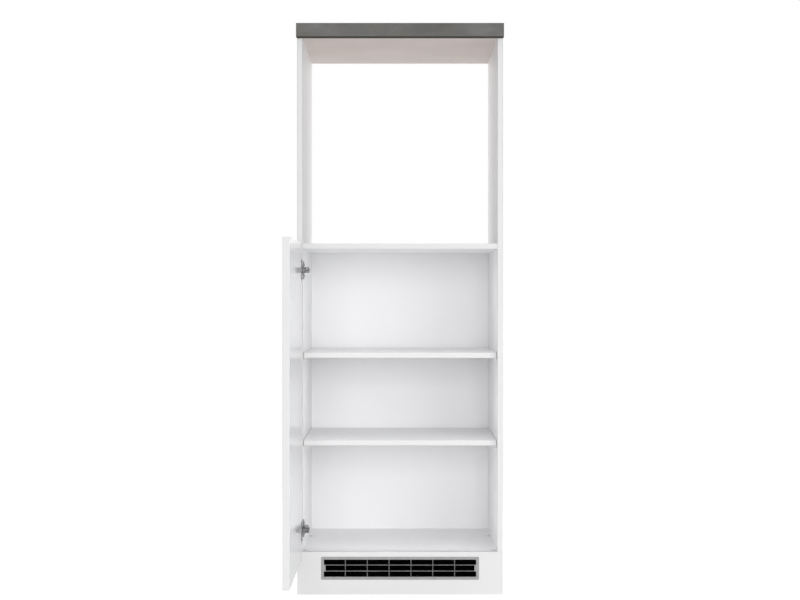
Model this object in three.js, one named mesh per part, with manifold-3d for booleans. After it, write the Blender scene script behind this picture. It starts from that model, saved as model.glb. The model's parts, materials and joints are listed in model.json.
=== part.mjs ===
import * as THREE from "three";
import * as BufferGeometryUtils from "three/addons/utils/BufferGeometryUtils.js";
import Module from "manifold-3d";

// Oven housing unit: a floor-standing tall cabinet with a door compartment below and an oven niche above.
// Millimetres, +Z up, the front looks along -Y. The origin is the middle of the plinth board's underside.

const wasm = await Module();
wasm.setup();

// Carcass
const carcassWidth = 598;
const carcassDepth = 560;
const board = 16;
const plinthHeight = 124;
const compartmentHeight = 880;
const nicheHeight = 596;
const backPanel = 3;
const backRoom = 19;
const backTongue = 7;
const grooveRoom = 0.3;
const edgeBand = 1;
const fitRoom = 0.3;
const overrun = 5;

// Worktop
const worktopLap = 1;
const worktopThickness = 39;
const worktopOverhang = 40;
const laminate = 0.75;
const laminateCorner = 1.25;
const laminateStop = 2;

// Loose shelves and their pegs
const shelfRise = 322;
const shelfPitch = 256;
const shelfRecess = 30;
const shelfBackRoom = 2;
const shelfEndRoom = 1;
const pegRadius = 2.35;
const pegInBoard = 9;
const pegTongue = 9;
const pegTongueWidth = 8;
const pegTongueThickness = 2;
const firstHole = 37;
const holePitch = 32;
const rearHoleRoom = 40;
const connectorStepsAhead = 4;

// Connectors that clamp the bottom board to the sides
const connectorRadius = 10;
const connectorDepth = 12.6;
const connectorFromEnd = 9.5;
const connectorScrewRadius = 3.9;
const connectorScrewLength = 5;
const connectorScrewSunk = 0.1;
const connectorScrewShift = 3;
const crossWidth = 1.2;
const crossDepth = 1.5;

// Vent grille in the plinth
const grilleWidth = 459;
const grilleHeight = 66.75;
const grilleRise = 43.25;
const grilleCorner = 3.5;
const grilleProud = 1.6;
const grilleBorder = 8.3;
const grilleLouvre = 2.1;
const grilleRows = 3;
const grilleColumns = 7;
const grilleBarDepth = 9;
const grilleBarSunk = 0.8;
const grilleTab = 4.8;
const collarWall = 1.6;
const collarRoom = 0.5;
const collarBehind = 2.6;
const hookWidth = 12;
const hookProud = 1.1;
const hookThickness = 1.8;
const hookShares = [0.2, 0.8];

// Door, drawn open at a right angle
const doorThickness = 19;
const doorReveal = 1;
const doorInset = 1;
const doorAhead = 6;
const doorBottomLap = 16;
const doorTopLap = 15;

// Concealed hinges: cup, two links, arm and mounting plate
const upperHingeDrop = 76;
const lowerHingeRise = 80;
const cupRadius = 17.5;
const cupWall = 1;
const cupDepth = 12;
const cupFromEdge = 20.5;
const flangeThickness = 1.25;
const flangeRadius = 19.5;
const flangeHalfSpan = 30;
const flangeWing = 9;
const flangeCorner = 3;
const cupScrewSpan = 48;
const cupScrewOffset = 6;
const cupScrewRadius = 1.9;
const cupScrewHead = 3.6;
const cupScrewHeadHeight = 1;
const cupScrewLength = 12;
const outerPivotOut = 16.5;
const outerPivotAhead = 3;
const outerTipDeep = 2.9;
const outerTipAhead = 15.2;
const innerPivotOut = 9.5;
const innerPivotAhead = 7.5;
const innerTipDeep = 5.5;
const innerTipAhead = 14.2;
const linkPin = 1.25;
const linkPinRoom = 0.3;
const linkEye = 2.6;
const outerTipEye = 2.1;
const innerTipEye = 1.8;
const outerLinkHalf = 1.5;
const innerLinkHalf = 0.9;
const linkBridgeHalf = 0.7;
const outerKneeOut = 5;
const outerKneeAhead = 3.6;
const kneeOut = 3.1;
const outerKneeLow = 14.2;
const innerKneeLow = 14.3;
const bridgeReach = 3;
const innerLinkWide = 8.4;
const linkPlay = 0.4;
const outerCheek = 1.4;
const tipStub = 0.6;
const earLength = 8;
const earSunk = 1.5;
const armWide = 15.6;
const armSheet = 1.4;
const armTop = 19.2;
const armTail = 62;
const armTailTop = 12.5;
const armLow = 3;
const armWebStart = 1.5;
const armThroat = 16;
const noseRadius = 2.6;
const plateWing = 2.5;
const plateWingLength = 18;
const plateHalfSpan = 26;
const plateSpineTop = 8;
const plateSpineHalf = 18;
const spineRoom = 0.4;
const plateScrewSpan = 32;
const plateScrewRadius = 2.4;
const plateScrewHead = 4.2;
const plateScrewHeadHeight = 1.6;
const plateScrewLength = 12;
const armScrewRadius = 2.2;
const armScrewHead = 3.6;
const armScrewHeadHeight = 1.4;
const armScrewShares = [0.32, 0.78];

// Places that follow from the sizes
const front = -board / 2;
const back = front + carcassDepth;
const outerHalf = carcassWidth / 2;
const innerHalf = outerHalf - board;
const bottomUnder = plinthHeight - board;
const ovenShelfUnder = plinthHeight + compartmentHeight;
const ovenShelfTop = ovenShelfUnder + board;
const sideTop = ovenShelfTop + nicheHeight;
const worktopTop = sideTop + worktopThickness;
const worktopFront = front - worktopOverhang;
const laminateEnd = front - laminateStop;
const backFace = back - backRoom;
const holeSteps = Math.floor((backFace - front - firstHole - rearHoleRoom) / holePitch);
const connectorRows = [firstHole, firstHole + (holeSteps - connectorStepsAhead) * holePitch];
const pegRows = [firstHole, firstHole + holeSteps * holePitch];
const shelfUnders = [shelfRise + plinthHeight - board, shelfRise + plinthHeight - board + shelfPitch];
const doorWidth = carcassWidth - 2 * doorReveal;
const doorBottom = plinthHeight - doorBottomLap;
const doorTop = ovenShelfUnder + doorTopLap;
const doorInner = -innerHalf - doorInset;
const doorHingeEdge = front - doorAhead;
const doorFreeEdge = doorHingeEdge - doorWidth;
const upperHingeHeight = doorTop - upperHingeDrop;
const lowerHingeHeight = doorBottom + lowerHingeRise;
const cupCentre = doorHingeEdge - cupFromEdge;

// Finishes
function finish(color, roughness, metalness = 0) {
  return { color, roughness, metalness };
}
const whiteBoard = finish(0xebebec, 0.35);
const whiteBand = finish(0xf0f0f0, 0.4);
const stoneLaminate = finish(0x777775, 0.5);
const beigePaper = finish(0xbfb6b0, 0.8);
const chipboard = finish(0xb79b74, 0.9);
const hardboard = finish(0xe6e5e9, 0.5);
const greyPlastic = finish(0xaeaeae, 0.4);
const whitePlastic = finish(0xe9e9e9, 0.4);
const nickel = finish(0x8d8d8b, 0.3, 1);
const zinc = finish(0x9a9a98, 0.35, 1);

// A closed box between two corners
function block(x0, x1, y0, y1, z0, z1) {
  const geometry = new THREE.BoxGeometry(x1 - x0, y1 - y0, z1 - z0);
  return geometry.translate((x0 + x1) / 2, (y0 + y1) / 2, (z0 + z1) / 2);
}

// A box between mirrored x faces
function spanned(halfWidth, y0, y1, z0, z1) {
  return block(-halfWidth, halfWidth, y0, y1, z0, z1);
}

// A round bar that starts at a point and runs along one axis
function rod(radius, length, axis, from, sides = 12) {
  const geometry = new THREE.CylinderGeometry(radius, radius, length, sides);
  geometry.translate(0, length / 2, 0);
  const up = new THREE.Vector3(0, 1, 0);
  const direction = new THREE.Vector3(...{ x: [1, 0, 0], y: [0, 1, 0], z: [0, 0, 1] }[axis]);
  return geometry.applyQuaternion(new THREE.Quaternion().setFromUnitVectors(up, direction)).translate(...from);
}

// A flat shape in the XY plane, thickened from z0 to z1
function slab(shape, z0, z1, curveSegments = 4) {
  const geometry = new THREE.ExtrudeGeometry(shape, { depth: z1 - z0, bevelEnabled: false, curveSegments });
  return geometry.translate(0, 0, z0);
}

// Turns a slab drawn in (y, z) so that its thickness runs along x
function laidAcross(geometry) {
  return geometry.applyMatrix4(new THREE.Matrix4().set(0, 0, 1, 0, 1, 0, 0, 0, 0, 1, 0, 0, 0, 0, 0, 1));
}

// A bar outline with round ends between two points
function stadium(a, b, radius) {
  const along = Math.atan2(b[1] - a[1], b[0] - a[0]);
  const shape = new THREE.Shape();
  shape.absarc(a[0], a[1], radius, along + Math.PI / 2, along + Math.PI * 1.5, false);
  shape.absarc(b[0], b[1], radius, along - Math.PI / 2, along + Math.PI / 2, false);
  shape.closePath();
  return shape;
}

function disc(centre, radius) {
  const shape = new THREE.Shape();
  shape.absarc(centre[0], centre[1], radius, 0, Math.PI * 2, false);
  return shape;
}

function roundedRectangle(x0, x1, y0, y1, radius) {
  const shape = new THREE.Shape();
  shape.absarc(x1 - radius, y0 + radius, radius, -Math.PI / 2, 0, false);
  shape.absarc(x1 - radius, y1 - radius, radius, 0, Math.PI / 2, false);
  shape.absarc(x0 + radius, y1 - radius, radius, Math.PI / 2, Math.PI, false);
  shape.absarc(x0 + radius, y0 + radius, radius, Math.PI, Math.PI * 1.5, false);
  shape.closePath();
  return shape;
}

// Turns a closed geometry into a solid that can be joined and cut
function solid(geometry) {
  const bare = geometry.index ? geometry.toNonIndexed() : geometry.clone();
  bare.deleteAttribute("normal");
  bare.deleteAttribute("uv");
  const merged = BufferGeometryUtils.mergeVertices(bare, 1e-4);
  return new wasm.Manifold(new wasm.Mesh({
    numProp: 3,
    vertProperties: new Float32Array(merged.attributes.position.array),
    triVerts: new Uint32Array(merged.index.array),
  }));
}

function geometryOf(manifold) {
  const mesh = manifold.getMesh();
  const geometry = new THREE.BufferGeometry();
  geometry.setAttribute("position", new THREE.BufferAttribute(new Float32Array(mesh.vertProperties), 3));
  geometry.setIndex(new THREE.BufferAttribute(new Uint32Array(mesh.triVerts), 1));
  return geometry;
}

function joined(pieces) {
  return pieces.map(solid).reduce((whole, piece) => whole.add(piece));
}

// The pieces joined, less the cutters
function shaped(pieces, cutters = []) {
  const cut = cutters.map(solid).reduce((whole, cutter) => whole.subtract(cutter), joined(pieces));
  return geometryOf(cut);
}

function add(group, name, geometry, look) {
  const mesh = new THREE.Mesh(geometry, new THREE.MeshStandardMaterial(look));
  mesh.name = name;
  group.add(mesh);
  return mesh;
}

function connectorPlaces() {
  return connectorRows.map((row) => front + row);
}

// The range of a piece that starts at a side panel's inner face and runs into the unit
function inwards(side, near, far) {
  const ends = [side * (innerHalf - near), side * (innerHalf - far)];
  return [Math.min(...ends), Math.max(...ends)];
}

function alongWidth(share, halfWidth) {
  return (2 * share - 1) * halfWidth;
}

// Bores in a side panel's inner face for the shelf pegs; side is -1 on the left and 1 on the right
function pegBores(side) {
  const bores = [];
  for (const under of shelfUnders) {
    for (const row of pegRows) {
      const depth = pegInBoard + fitRoom;
      const [start] = inwards(side, -depth, overrun);
      bores.push(rod(pegRadius + fitRoom, depth + overrun, "x", [start, front + row, under - pegRadius]));
    }
  }
  return bores;
}

// A side panel: full height, notched for the plinth board, grooved for the back panel
function sidePanel(side) {
  const outline = new THREE.Shape();
  outline.moveTo(front + board, 0);
  outline.lineTo(back, 0);
  outline.lineTo(back, sideTop);
  outline.lineTo(front + edgeBand, sideTop);
  outline.lineTo(front + edgeBand, plinthHeight);
  outline.lineTo(front + board, plinthHeight);
  outline.closePath();
  const blank = slab(outline, 0, board);
  laidAcross(blank).translate(side > 0 ? innerHalf : -outerHalf, 0, 0);
  const grooveDepth = backTongue + fitRoom;
  const grooveInner = side > 0 ? innerHalf - overrun : -innerHalf - grooveDepth;
  const groove = block(
    grooveInner, grooveInner + grooveDepth + overrun,
    backFace - grooveRoom, backFace + backPanel + grooveRoom,
    bottomUnder - grooveRoom, ovenShelfTop + grooveRoom,
  );
  const cutters = [groove, ...pegBores(side)];
  if (side < 0) cutters.push(...plateScrewBores());
  return shaped([blank], cutters);
}

function plateScrewBores() {
  const places = [];
  for (const height of [upperHingeHeight, lowerHingeHeight]) {
    for (const way of [-1, 1]) {
      const depth = plateScrewLength + fitRoom;
      places.push(rod(
        plateScrewRadius + fitRoom, depth + overrun, "x",
        [-innerHalf - depth, front + firstHole, height + way * plateScrewSpan / 2],
      ));
    }
  }
  return places;
}

function carcassSides(group) {
  add(group, "left_side_panel", sidePanel(-1), whiteBoard);
  add(group, "right_side_panel", sidePanel(1), whiteBoard);
  const band = (x0) => block(x0, x0 + board, front, front + edgeBand, plinthHeight, sideTop);
  add(group, "left_side_edge_band", band(-outerHalf), whiteBand);
  add(group, "right_side_edge_band", band(innerHalf), whiteBand);
}

// A connector housing: a drilled plug with a flat that faces the side panel, set flush in the board
function connectorHousing(side, y) {
  const middle = side * (innerHalf - connectorFromEnd);
  const plug = rod(connectorRadius, connectorDepth, "z", [middle, y, plinthHeight - connectorDepth], 24);
  const [x0, x1] = inwards(side, -connectorRadius, fitRoom);
  const flat = block(
    x0, x1,
    y - connectorRadius - overrun, y + connectorRadius + overrun,
    plinthHeight - connectorDepth - overrun, plinthHeight + overrun,
  );
  const room = connectorScrewLength + connectorScrewSunk + fitRoom;
  const screwAt = middle + side * connectorScrewShift;
  const low = plinthHeight - room;
  const bore = rod(connectorScrewRadius + fitRoom, room + overrun, "z", [screwAt, y, low], 16);
  return shaped([plug], [flat, bore]);
}

// The cross-slotted screw that clamps a connector
function connectorScrew(side, y) {
  const middle = side * (innerHalf - connectorFromEnd + connectorScrewShift);
  const head = plinthHeight - connectorScrewSunk;
  const low = head - connectorScrewLength;
  const shank = rod(connectorScrewRadius, connectorScrewLength, "z", [middle, y, low], 16);
  const long = connectorScrewRadius - crossWidth;
  const half = crossWidth / 2;
  return shaped([shank], [
    block(middle - long, middle + long, y - half, y + half, head - crossDepth, head + overrun),
    block(middle - half, middle + half, y - long, y + long, head - crossDepth, head + overrun),
  ]);
}

function bottomPanel(group) {
  const pockets = [];
  for (const side of [-1, 1]) {
    const hand = side < 0 ? "left" : "right";
    connectorPlaces().forEach((y, row) => {
      const place = `${hand}_${row === 0 ? "front" : "rear"}`;
      const depth = connectorDepth + fitRoom;
      pockets.push(rod(
        connectorRadius + fitRoom, depth + overrun, "z",
        [side * (innerHalf - connectorFromEnd), y, plinthHeight - depth], 24,
      ));
      add(group, `connector_housing_${place}`, connectorHousing(side, y), whitePlastic);
      add(group, `connector_screw_${place}`, connectorScrew(side, y), zinc);
    });
  }
  const blank = spanned(innerHalf, front + board, backFace, bottomUnder, plinthHeight);
  add(group, "bottom_panel", shaped([blank], pockets), whiteBoard);
}

function ovenShelf(group) {
  const slice = (y0, y1) => spanned(innerHalf, y0, y1, ovenShelfUnder, ovenShelfTop);
  add(group, "oven_shelf", slice(front + edgeBand, backFace), whiteBoard);
  add(group, "oven_shelf_edge_band", slice(front, front + edgeBand), whiteBand);
}

// The thin back closes only the door compartment; the oven niche stays open behind
function backBoard(group) {
  const rear = backFace + backPanel;
  add(group, "back_panel", spanned(innerHalf + backTongue, backFace, rear, bottomUnder, ovenShelfTop), hardboard);
}

// The plinth board closes the foot across the full width and holds the grille
function plinth(group) {
  const collarHalf = grilleWidth / 2 - grilleBorder + collarWall + collarRoom;
  const lower = grilleRise + grilleBorder - collarWall - collarRoom;
  const upper = grilleRise + grilleHeight - grilleBorder + collarWall + collarRoom;
  const mouth = spanned(collarHalf, front - overrun, front + board + overrun, lower, upper);
  const blank = spanned(outerHalf, front, front + board, 0, plinthHeight);
  add(group, "plinth_board", shaped([blank], [mouth]), whiteBoard);
}

// Grille: bordered face, three rows of louvres in seven bays, a collar through the board and four hooks behind
function ventGrille(group) {
  const half = grilleWidth / 2;
  const top = grilleRise + grilleHeight;
  const openHalf = half - grilleBorder;
  const openLow = grilleRise + grilleBorder;
  const openHigh = top - grilleBorder;
  const turnUp = new THREE.Matrix4().makeRotationX(Math.PI / 2);
  const face = slab(roundedRectangle(-half, half, grilleRise, top, grilleCorner), 0, grilleProud, 4);
  face.applyMatrix4(turnUp).translate(0, front, 0);
  const collarEnd = front + board + collarBehind;
  const collar = spanned(openHalf + collarWall, front, collarEnd, openLow - collarWall, openHigh + collarWall);
  const mouth = spanned(openHalf, front - overrun, collarEnd + overrun, openLow, openHigh);
  const frame = joined([face, collar]).subtract(solid(mouth));

  const barFront = front - grilleProud + grilleBarSunk;
  const barBack = barFront + grilleBarDepth;
  const reach = collarWall / 2;
  const bars = [];
  const rowPitch = (openHigh - openLow + grilleLouvre) / grilleRows;
  for (let row = 1; row < grilleRows; row += 1) {
    const z = openLow - grilleLouvre + row * rowPitch;
    bars.push(spanned(openHalf + reach, barFront, barBack, z, z + grilleLouvre));
  }
  const columnPitch = (2 * openHalf + grilleLouvre) / grilleColumns;
  for (let column = 1; column < grilleColumns; column += 1) {
    const x = -openHalf - grilleLouvre + column * columnPitch;
    bars.push(block(x, x + grilleLouvre, barFront, barBack, openLow - reach, openHigh + reach));
  }
  for (const side of [-1, 1]) {
    const x = side > 0 ? openHalf - grilleTab : -openHalf - reach;
    const low = openLow - grilleLouvre + rowPitch;
    bars.push(block(x, x + grilleTab + reach, barFront, barBack, low, low + rowPitch + grilleLouvre));
  }
  const hooks = [];
  for (const share of hookShares) {
    const x = alongWidth(share, openHalf);
    const near = collarEnd - hookThickness;
    const lower = openLow - collarWall;
    const upper = openHigh + collarWall;
    const hook = (z0, z1) => block(x - hookWidth / 2, x + hookWidth / 2, near, collarEnd, z0, z1);
    hooks.push(hook(lower - hookProud, lower + reach), hook(upper - reach, upper + hookProud));
  }
  add(group, "vent_grille", geometryOf(frame.add(joined([...bars, ...hooks]))), greyPlastic);
}

// Worktop: core, laminate folded over the front edge and back under it, backing sheet and end strips
function worktop(group) {
  const half = outerHalf + worktopLap;
  const under = sideTop;
  const profile = new THREE.Shape();
  const bend = worktopFront + laminateCorner;
  profile.moveTo(back, worktopTop - laminate);
  profile.lineTo(back, worktopTop);
  profile.absarc(bend, worktopTop - laminateCorner, laminateCorner, Math.PI / 2, Math.PI, false);
  profile.absarc(bend, under + laminateCorner, laminateCorner, Math.PI, Math.PI * 1.5, false);
  profile.lineTo(laminateEnd, under);
  profile.lineTo(laminateEnd, under + laminate);
  profile.lineTo(worktopFront + laminate, under + laminate);
  profile.lineTo(worktopFront + laminate, worktopTop - laminate);
  profile.closePath();
  const wrap = slab(profile, 0, 2 * half, 3);
  add(group, "worktop_laminate", laidAcross(wrap).translate(-half, 0, 0), stoneLaminate);

  add(group, "worktop_backing_sheet", spanned(half, laminateEnd, back, under, under + laminate), beigePaper);
  const filling = (x0, x1) => block(
    x0, x1,
    worktopFront + laminate, back,
    under + laminate, worktopTop - laminate,
  );
  add(group, "worktop_core", filling(laminate - half, half - laminate), chipboard);
  add(group, "worktop_left_strip", filling(-half, laminate - half), stoneLaminate);
  add(group, "worktop_right_strip", filling(half - laminate, half), stoneLaminate);
}

// A loose shelf on four pegs
function looseShelf(group, name, under) {
  const half = innerHalf - shelfEndRoom;
  const frontEdge = front + shelfRecess;
  const rearEdge = backFace - shelfBackRoom;
  const slice = (y0, y1) => spanned(half, y0, y1, under, under + board);
  add(group, name, slice(frontEdge + edgeBand, rearEdge), whiteBoard);
  add(group, `${name}_edge_band`, slice(frontEdge, frontEdge + edgeBand), whiteBand);
  for (const side of [-1, 1]) {
    const hand = side < 0 ? "left" : "right";
    pegRows.forEach((row, index) => {
      const peg = shelfPeg(side, front + row, under);
      add(group, `${name}_peg_${hand}_${index === 0 ? "front" : "rear"}`, peg, whitePlastic);
    });
  }
}

// A peg with a flat tongue that the shelf lies on
function shelfPeg(side, y, under) {
  const [start] = inwards(side, -pegInBoard, pegTongue);
  const [x0, x1] = inwards(side, fitRoom, pegTongue);
  const shank = rod(pegRadius, pegInBoard + pegTongue, "x", [start, y, under - pegRadius]);
  const half = pegTongueWidth / 2;
  return shaped([shank, block(x0, x1, y - half, y + half, under - pegTongueThickness, under)]);
}

// Door: a board with a band round its four edges, bored for the two cups
function door(group) {
  const outer = doorInner - doorThickness;
  const core = block(
    outer, doorInner,
    doorFreeEdge + edgeBand, doorHingeEdge - edgeBand,
    doorBottom + edgeBand, doorTop - edgeBand,
  );
  const cutters = [];
  for (const height of [upperHingeHeight, lowerHingeHeight]) {
    const pocket = cupDepth + fitRoom;
    cutters.push(rod(cupRadius + fitRoom, pocket + overrun, "x", [doorInner - pocket, cupCentre, height], 32));
    for (const way of [-1, 1]) {
      const depth = cupScrewLength + fitRoom;
      cutters.push(rod(
        cupScrewRadius + fitRoom, depth + overrun, "x",
        [doorInner - depth, cupCentre - cupScrewOffset, height + way * cupScrewSpan / 2],
      ));
    }
  }
  add(group, "door_panel", shaped([core], cutters), whiteBoard);
  const ring = block(outer, doorInner, doorFreeEdge, doorHingeEdge, doorBottom, doorTop);
  const inside = block(
    outer - overrun, doorInner + overrun,
    doorFreeEdge + edgeBand, doorHingeEdge - edgeBand,
    doorBottom + edgeBand, doorTop - edgeBand,
  );
  add(group, "door_edge_band", shaped([ring], [inside]), whiteBand);
}

// The hinges are drawn in a group of their own: x out from the side panel's inner face, y back from the
// carcass front, z up from the hinge's middle. The door's inner face then lies at x = -doorInset.
const outerPivot = [outerPivotOut, -outerPivotAhead];
const innerPivot = [innerPivotOut, -innerPivotAhead];
const outerTip = [-doorInset - outerTipDeep, -outerTipAhead];
const innerTip = [-doorInset - innerTipDeep, -innerTipAhead];
const cupMiddle = -doorAhead - cupFromEdge;
const cheekOutside = innerLinkWide / 2 + linkPlay + outerCheek;
const armHalf = armWide / 2;

// Cup: a drawn bowl with a winged flange that lies on the door, and two ears that bear the links' tips
function hingeCup() {
  const wing = roundedRectangle(
    cupMiddle - cupScrewOffset - flangeWing, cupMiddle - cupScrewOffset + flangeWing,
    -flangeHalfSpan, flangeHalfSpan, flangeCorner,
  );
  const plate = laidAcross(slab(wing, 0, flangeThickness, 4));
  const rim = laidAcross(slab(disc([cupMiddle, 0], flangeRadius), 0, flangeThickness, 16));
  const edgeSide = block(
    -overrun, overrun,
    cupMiddle + cupRadius, cupMiddle + cupRadius + flangeRadius,
    -flangeHalfSpan, flangeHalfSpan,
  );
  const bowl = rod(cupRadius, cupDepth, "x", [-cupDepth, cupMiddle, 0], 32);
  const hollow = rod(cupRadius - cupWall, cupDepth + overrun, "x", [cupWall - cupDepth, cupMiddle, 0], 32);
  const holes = [-1, 1].map((way) => rod(
    cupScrewRadius + fitRoom, 2 * overrun, "x",
    [-overrun, cupMiddle - cupScrewOffset, way * cupScrewSpan / 2],
  ));
  const earNear = cheekOutside + tipStub + fitRoom;
  const ears = [earNear, -cupRadius].map((z) => block(
    -cupDepth, -earSunk,
    -outerTipAhead - earLength / 2, cupMiddle + cupRadius,
    z, z + cupRadius - earNear,
  ));
  const shell = solid(shaped([plate, rim, bowl], [edgeSide, hollow, ...holes]));
  const whole = shell.add(joined(ears).intersect(solid(bowl)));
  return geometryOf(whole).translate(-doorInset, 0, 0);
}

// A screw that runs in along x: its head sits on the seat, its shank runs back from it
function screw(radius, length, headRadius, headHeight, seat, place) {
  return shaped([
    rod(radius, length + headHeight / 2, "x", [seat - length, ...place]),
    rod(headRadius, headHeight, "x", [seat, ...place], 16),
  ]);
}

function cupScrew(way) {
  const place = [cupMiddle - cupScrewOffset, way * cupScrewSpan / 2];
  const seat = flangeThickness - doorInset;
  return screw(cupScrewRadius, cupScrewLength + flangeThickness, cupScrewHead, cupScrewHeadHeight, seat, place);
}

// A bent bar of the given half thickness through the points
function bentBar(points, half, z0, z1) {
  const bars = [];
  for (let i = 1; i < points.length; i += 1) {
    bars.push(slab(stadium(points[i - 1], points[i], half), z0, z1, 2));
  }
  return bars;
}

// Outer link: two bent cheeks with a bridge between them, on the arm's front pin
function outerLink() {
  const path = [outerTip, [kneeOut, -outerKneeLow], [outerKneeOut, -outerKneeAhead], outerPivot];
  const inside = innerLinkWide / 2 + linkPlay;
  const pieces = [];
  for (const z of [inside, -cheekOutside]) {
    pieces.push(...bentBar(path, outerLinkHalf, z, z + outerCheek));
    pieces.push(slab(disc(outerPivot, linkEye), z, z + outerCheek));
    pieces.push(slab(disc(outerTip, outerTipEye), z, z + outerCheek));
  }
  for (const z of [inside, -cheekOutside - tipStub]) {
    pieces.push(slab(disc(outerTip, linkPin), z, z + outerCheek + tipStub));
  }
  const knee = path[2];
  const bridge = [[knee[0] - bridgeReach / 4, knee[1] - bridgeReach], knee, [knee[0] + bridgeReach, knee[1]]];
  pieces.push(...bentBar(bridge, linkBridgeHalf, -inside - outerCheek / 2, inside + outerCheek / 2));
  const bore = slab(disc(outerPivot, linkPin + linkPinRoom), -cheekOutside - overrun, cheekOutside + overrun);
  return shaped(pieces, [bore]);
}

// Inner link: one bent strip between the cheeks, on the arm's rear pin
function innerLink() {
  const half = innerLinkWide / 2;
  const path = [innerTip, [kneeOut, -innerKneeLow], innerPivot];
  const pieces = bentBar(path, innerLinkHalf, -half, half);
  pieces.push(slab(disc(innerPivot, linkEye), -half, half));
  pieces.push(slab(disc(innerTip, innerTipEye), -half, half));
  const bore = slab(disc(innerPivot, linkPin + linkPinRoom), -half - overrun, half + overrun);
  return shaped(pieces, [bore]);
}

// Arm: a folded channel with a nose, and the two pins that are riveted through it
function hingeArm() {
  const outline = new THREE.Shape();
  outline.moveTo(armTop, -outerPivotAhead);
  outline.lineTo(armTop, armThroat);
  outline.lineTo(armTailTop, armTail);
  outline.lineTo(armLow, armTail);
  outline.lineTo(armLow, armThroat);
  outline.lineTo(innerPivotOut - noseRadius, armWebStart);
  outline.lineTo(innerPivotOut - noseRadius, -innerPivotAhead);
  outline.absarc(innerPivot[0], innerPivot[1], noseRadius, Math.PI, Math.PI * 1.6, false);
  outline.absarc(outerPivot[0], outerPivot[1], noseRadius, Math.PI * 1.75, Math.PI * 2, false);
  outline.closePath();
  const cheeks = [armHalf - armSheet, -armHalf].map((z) => slab(outline, z, z + armSheet));
  const web = new THREE.Shape();
  web.moveTo(armTop - armSheet, armWebStart);
  web.lineTo(armTop, armWebStart);
  web.lineTo(armTop, armThroat);
  web.lineTo(armTailTop, armTail);
  web.lineTo(armTailTop - armSheet, armTail);
  web.lineTo(armTop - armSheet, armThroat);
  web.closePath();
  const pins = [outerPivot, innerPivot].map((pivot) => slab(disc(pivot, linkPin), -armHalf, armHalf));
  const cutters = [];
  for (const place of armScrewPlaces()) {
    cutters.push(rod(armScrewRadius + fitRoom, armTop, "x", [plateSpineTop, place, 0]));
  }
  const channel = [...cheeks, slab(web, -armHalf + armSheet / 2, armHalf - armSheet / 2)];
  return shaped([...channel, ...pins], cutters);
}

function armScrewPlaces() {
  return armScrewShares.map((share) => armThroat + share * (armTail - armThroat));
}

// Height of the arm's outer face at a place along it
function armFaceAt(y) {
  return armTop + (armTailTop - armTop) * (y - armThroat) / (armTail - armThroat);
}

// An adjusting or fixing screw: head on the arm, shank in the plate's spine
function armScrew(y) {
  const seat = armFaceAt(y - armScrewHead) + fitRoom;
  const foot = plateSpineTop - armScrewHead;
  return screw(armScrewRadius, seat - foot, armScrewHead, armScrewHeadHeight, seat, [y, 0]);
}

// Mounting plate: a cross of two screw wings and a spine that the arm straddles
function mountingPlate() {
  const spineHalf = armHalf - armSheet - spineRoom;
  const spine = block(
    0, plateSpineTop,
    firstHole - plateSpineHalf, firstHole + plateSpineHalf,
    -spineHalf, spineHalf,
  );
  const wings = block(
    0, plateWing,
    firstHole - plateWingLength / 2, firstHole + plateWingLength / 2,
    -plateHalfSpan, plateHalfSpan,
  );
  const cutters = [-1, 1].map((way) => rod(
    plateScrewRadius + fitRoom, plateWing + 2 * overrun, "x",
    [-overrun, firstHole, way * plateScrewSpan / 2],
  ));
  for (const y of armScrewPlaces()) {
    const foot = plateSpineTop - armScrewHead - fitRoom;
    cutters.push(rod(armScrewRadius + fitRoom, armTop, "x", [foot, y, 0]));
  }
  return shaped([spine, wings], cutters);
}

function plateScrew(way) {
  const place = [firstHole, way * plateScrewSpan / 2];
  const length = plateWing + plateScrewLength;
  return screw(plateScrewRadius, length, plateScrewHead, plateScrewHeadHeight, plateWing, place);
}

function hinge(parent, prefix, height) {
  const group = new THREE.Group();
  group.position.set(-innerHalf, front, height);
  add(group, `${prefix}_hinge_cup`, hingeCup(), nickel);
  add(group, `${prefix}_outer_link`, outerLink(), nickel);
  add(group, `${prefix}_inner_link`, innerLink(), nickel);
  add(group, `${prefix}_hinge_arm`, hingeArm(), nickel);
  add(group, `${prefix}_mounting_plate`, mountingPlate(), nickel);
  for (const [place, way] of [["low", -1], ["high", 1]]) {
    add(group, `${prefix}_cup_screw_${place}`, cupScrew(way), zinc);
    add(group, `${prefix}_plate_screw_${place}`, plateScrew(way), zinc);
  }
  const [adjust, fixing] = armScrewPlaces();
  add(group, `${prefix}_arm_screw_front`, armScrew(adjust), zinc);
  add(group, `${prefix}_arm_screw_rear`, armScrew(fixing), zinc);
  parent.add(group);
}

const unit = new THREE.Group();
carcassSides(unit);
bottomPanel(unit);
ovenShelf(unit);
backBoard(unit);
plinth(unit);
ventGrille(unit);
worktop(unit);
looseShelf(unit, "lower_shelf", shelfUnders[0]);
looseShelf(unit, "upper_shelf", shelfUnders[1]);
door(unit);
hinge(unit, "upper", upperHingeHeight);
hinge(unit, "lower", lowerHingeHeight);

export default unit;
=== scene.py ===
"""Oven housing unit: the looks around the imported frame.

A tall kitchen cabinet of the 600 mm module: stone-look worktop, open oven niche, door compartment with two
loose shelves, full-width plinth with a vent grille. Each new piece is a surface worked out with numpy, as a
function of two parameters on a grid or as a profile carried along a path. The sizes in the classes are
millimetres, as in the part's source, and become metres when a mesh is built. +Z is up and the front looks
along -Y.
"""

import json
import logging
import math
from dataclasses import dataclass, field
from enum import Enum
from typing import Any, Callable, Sequence

import bmesh
import bpy
import numpy as np
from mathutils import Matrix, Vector
from mathutils.geometry import tessellate_polygon

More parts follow.
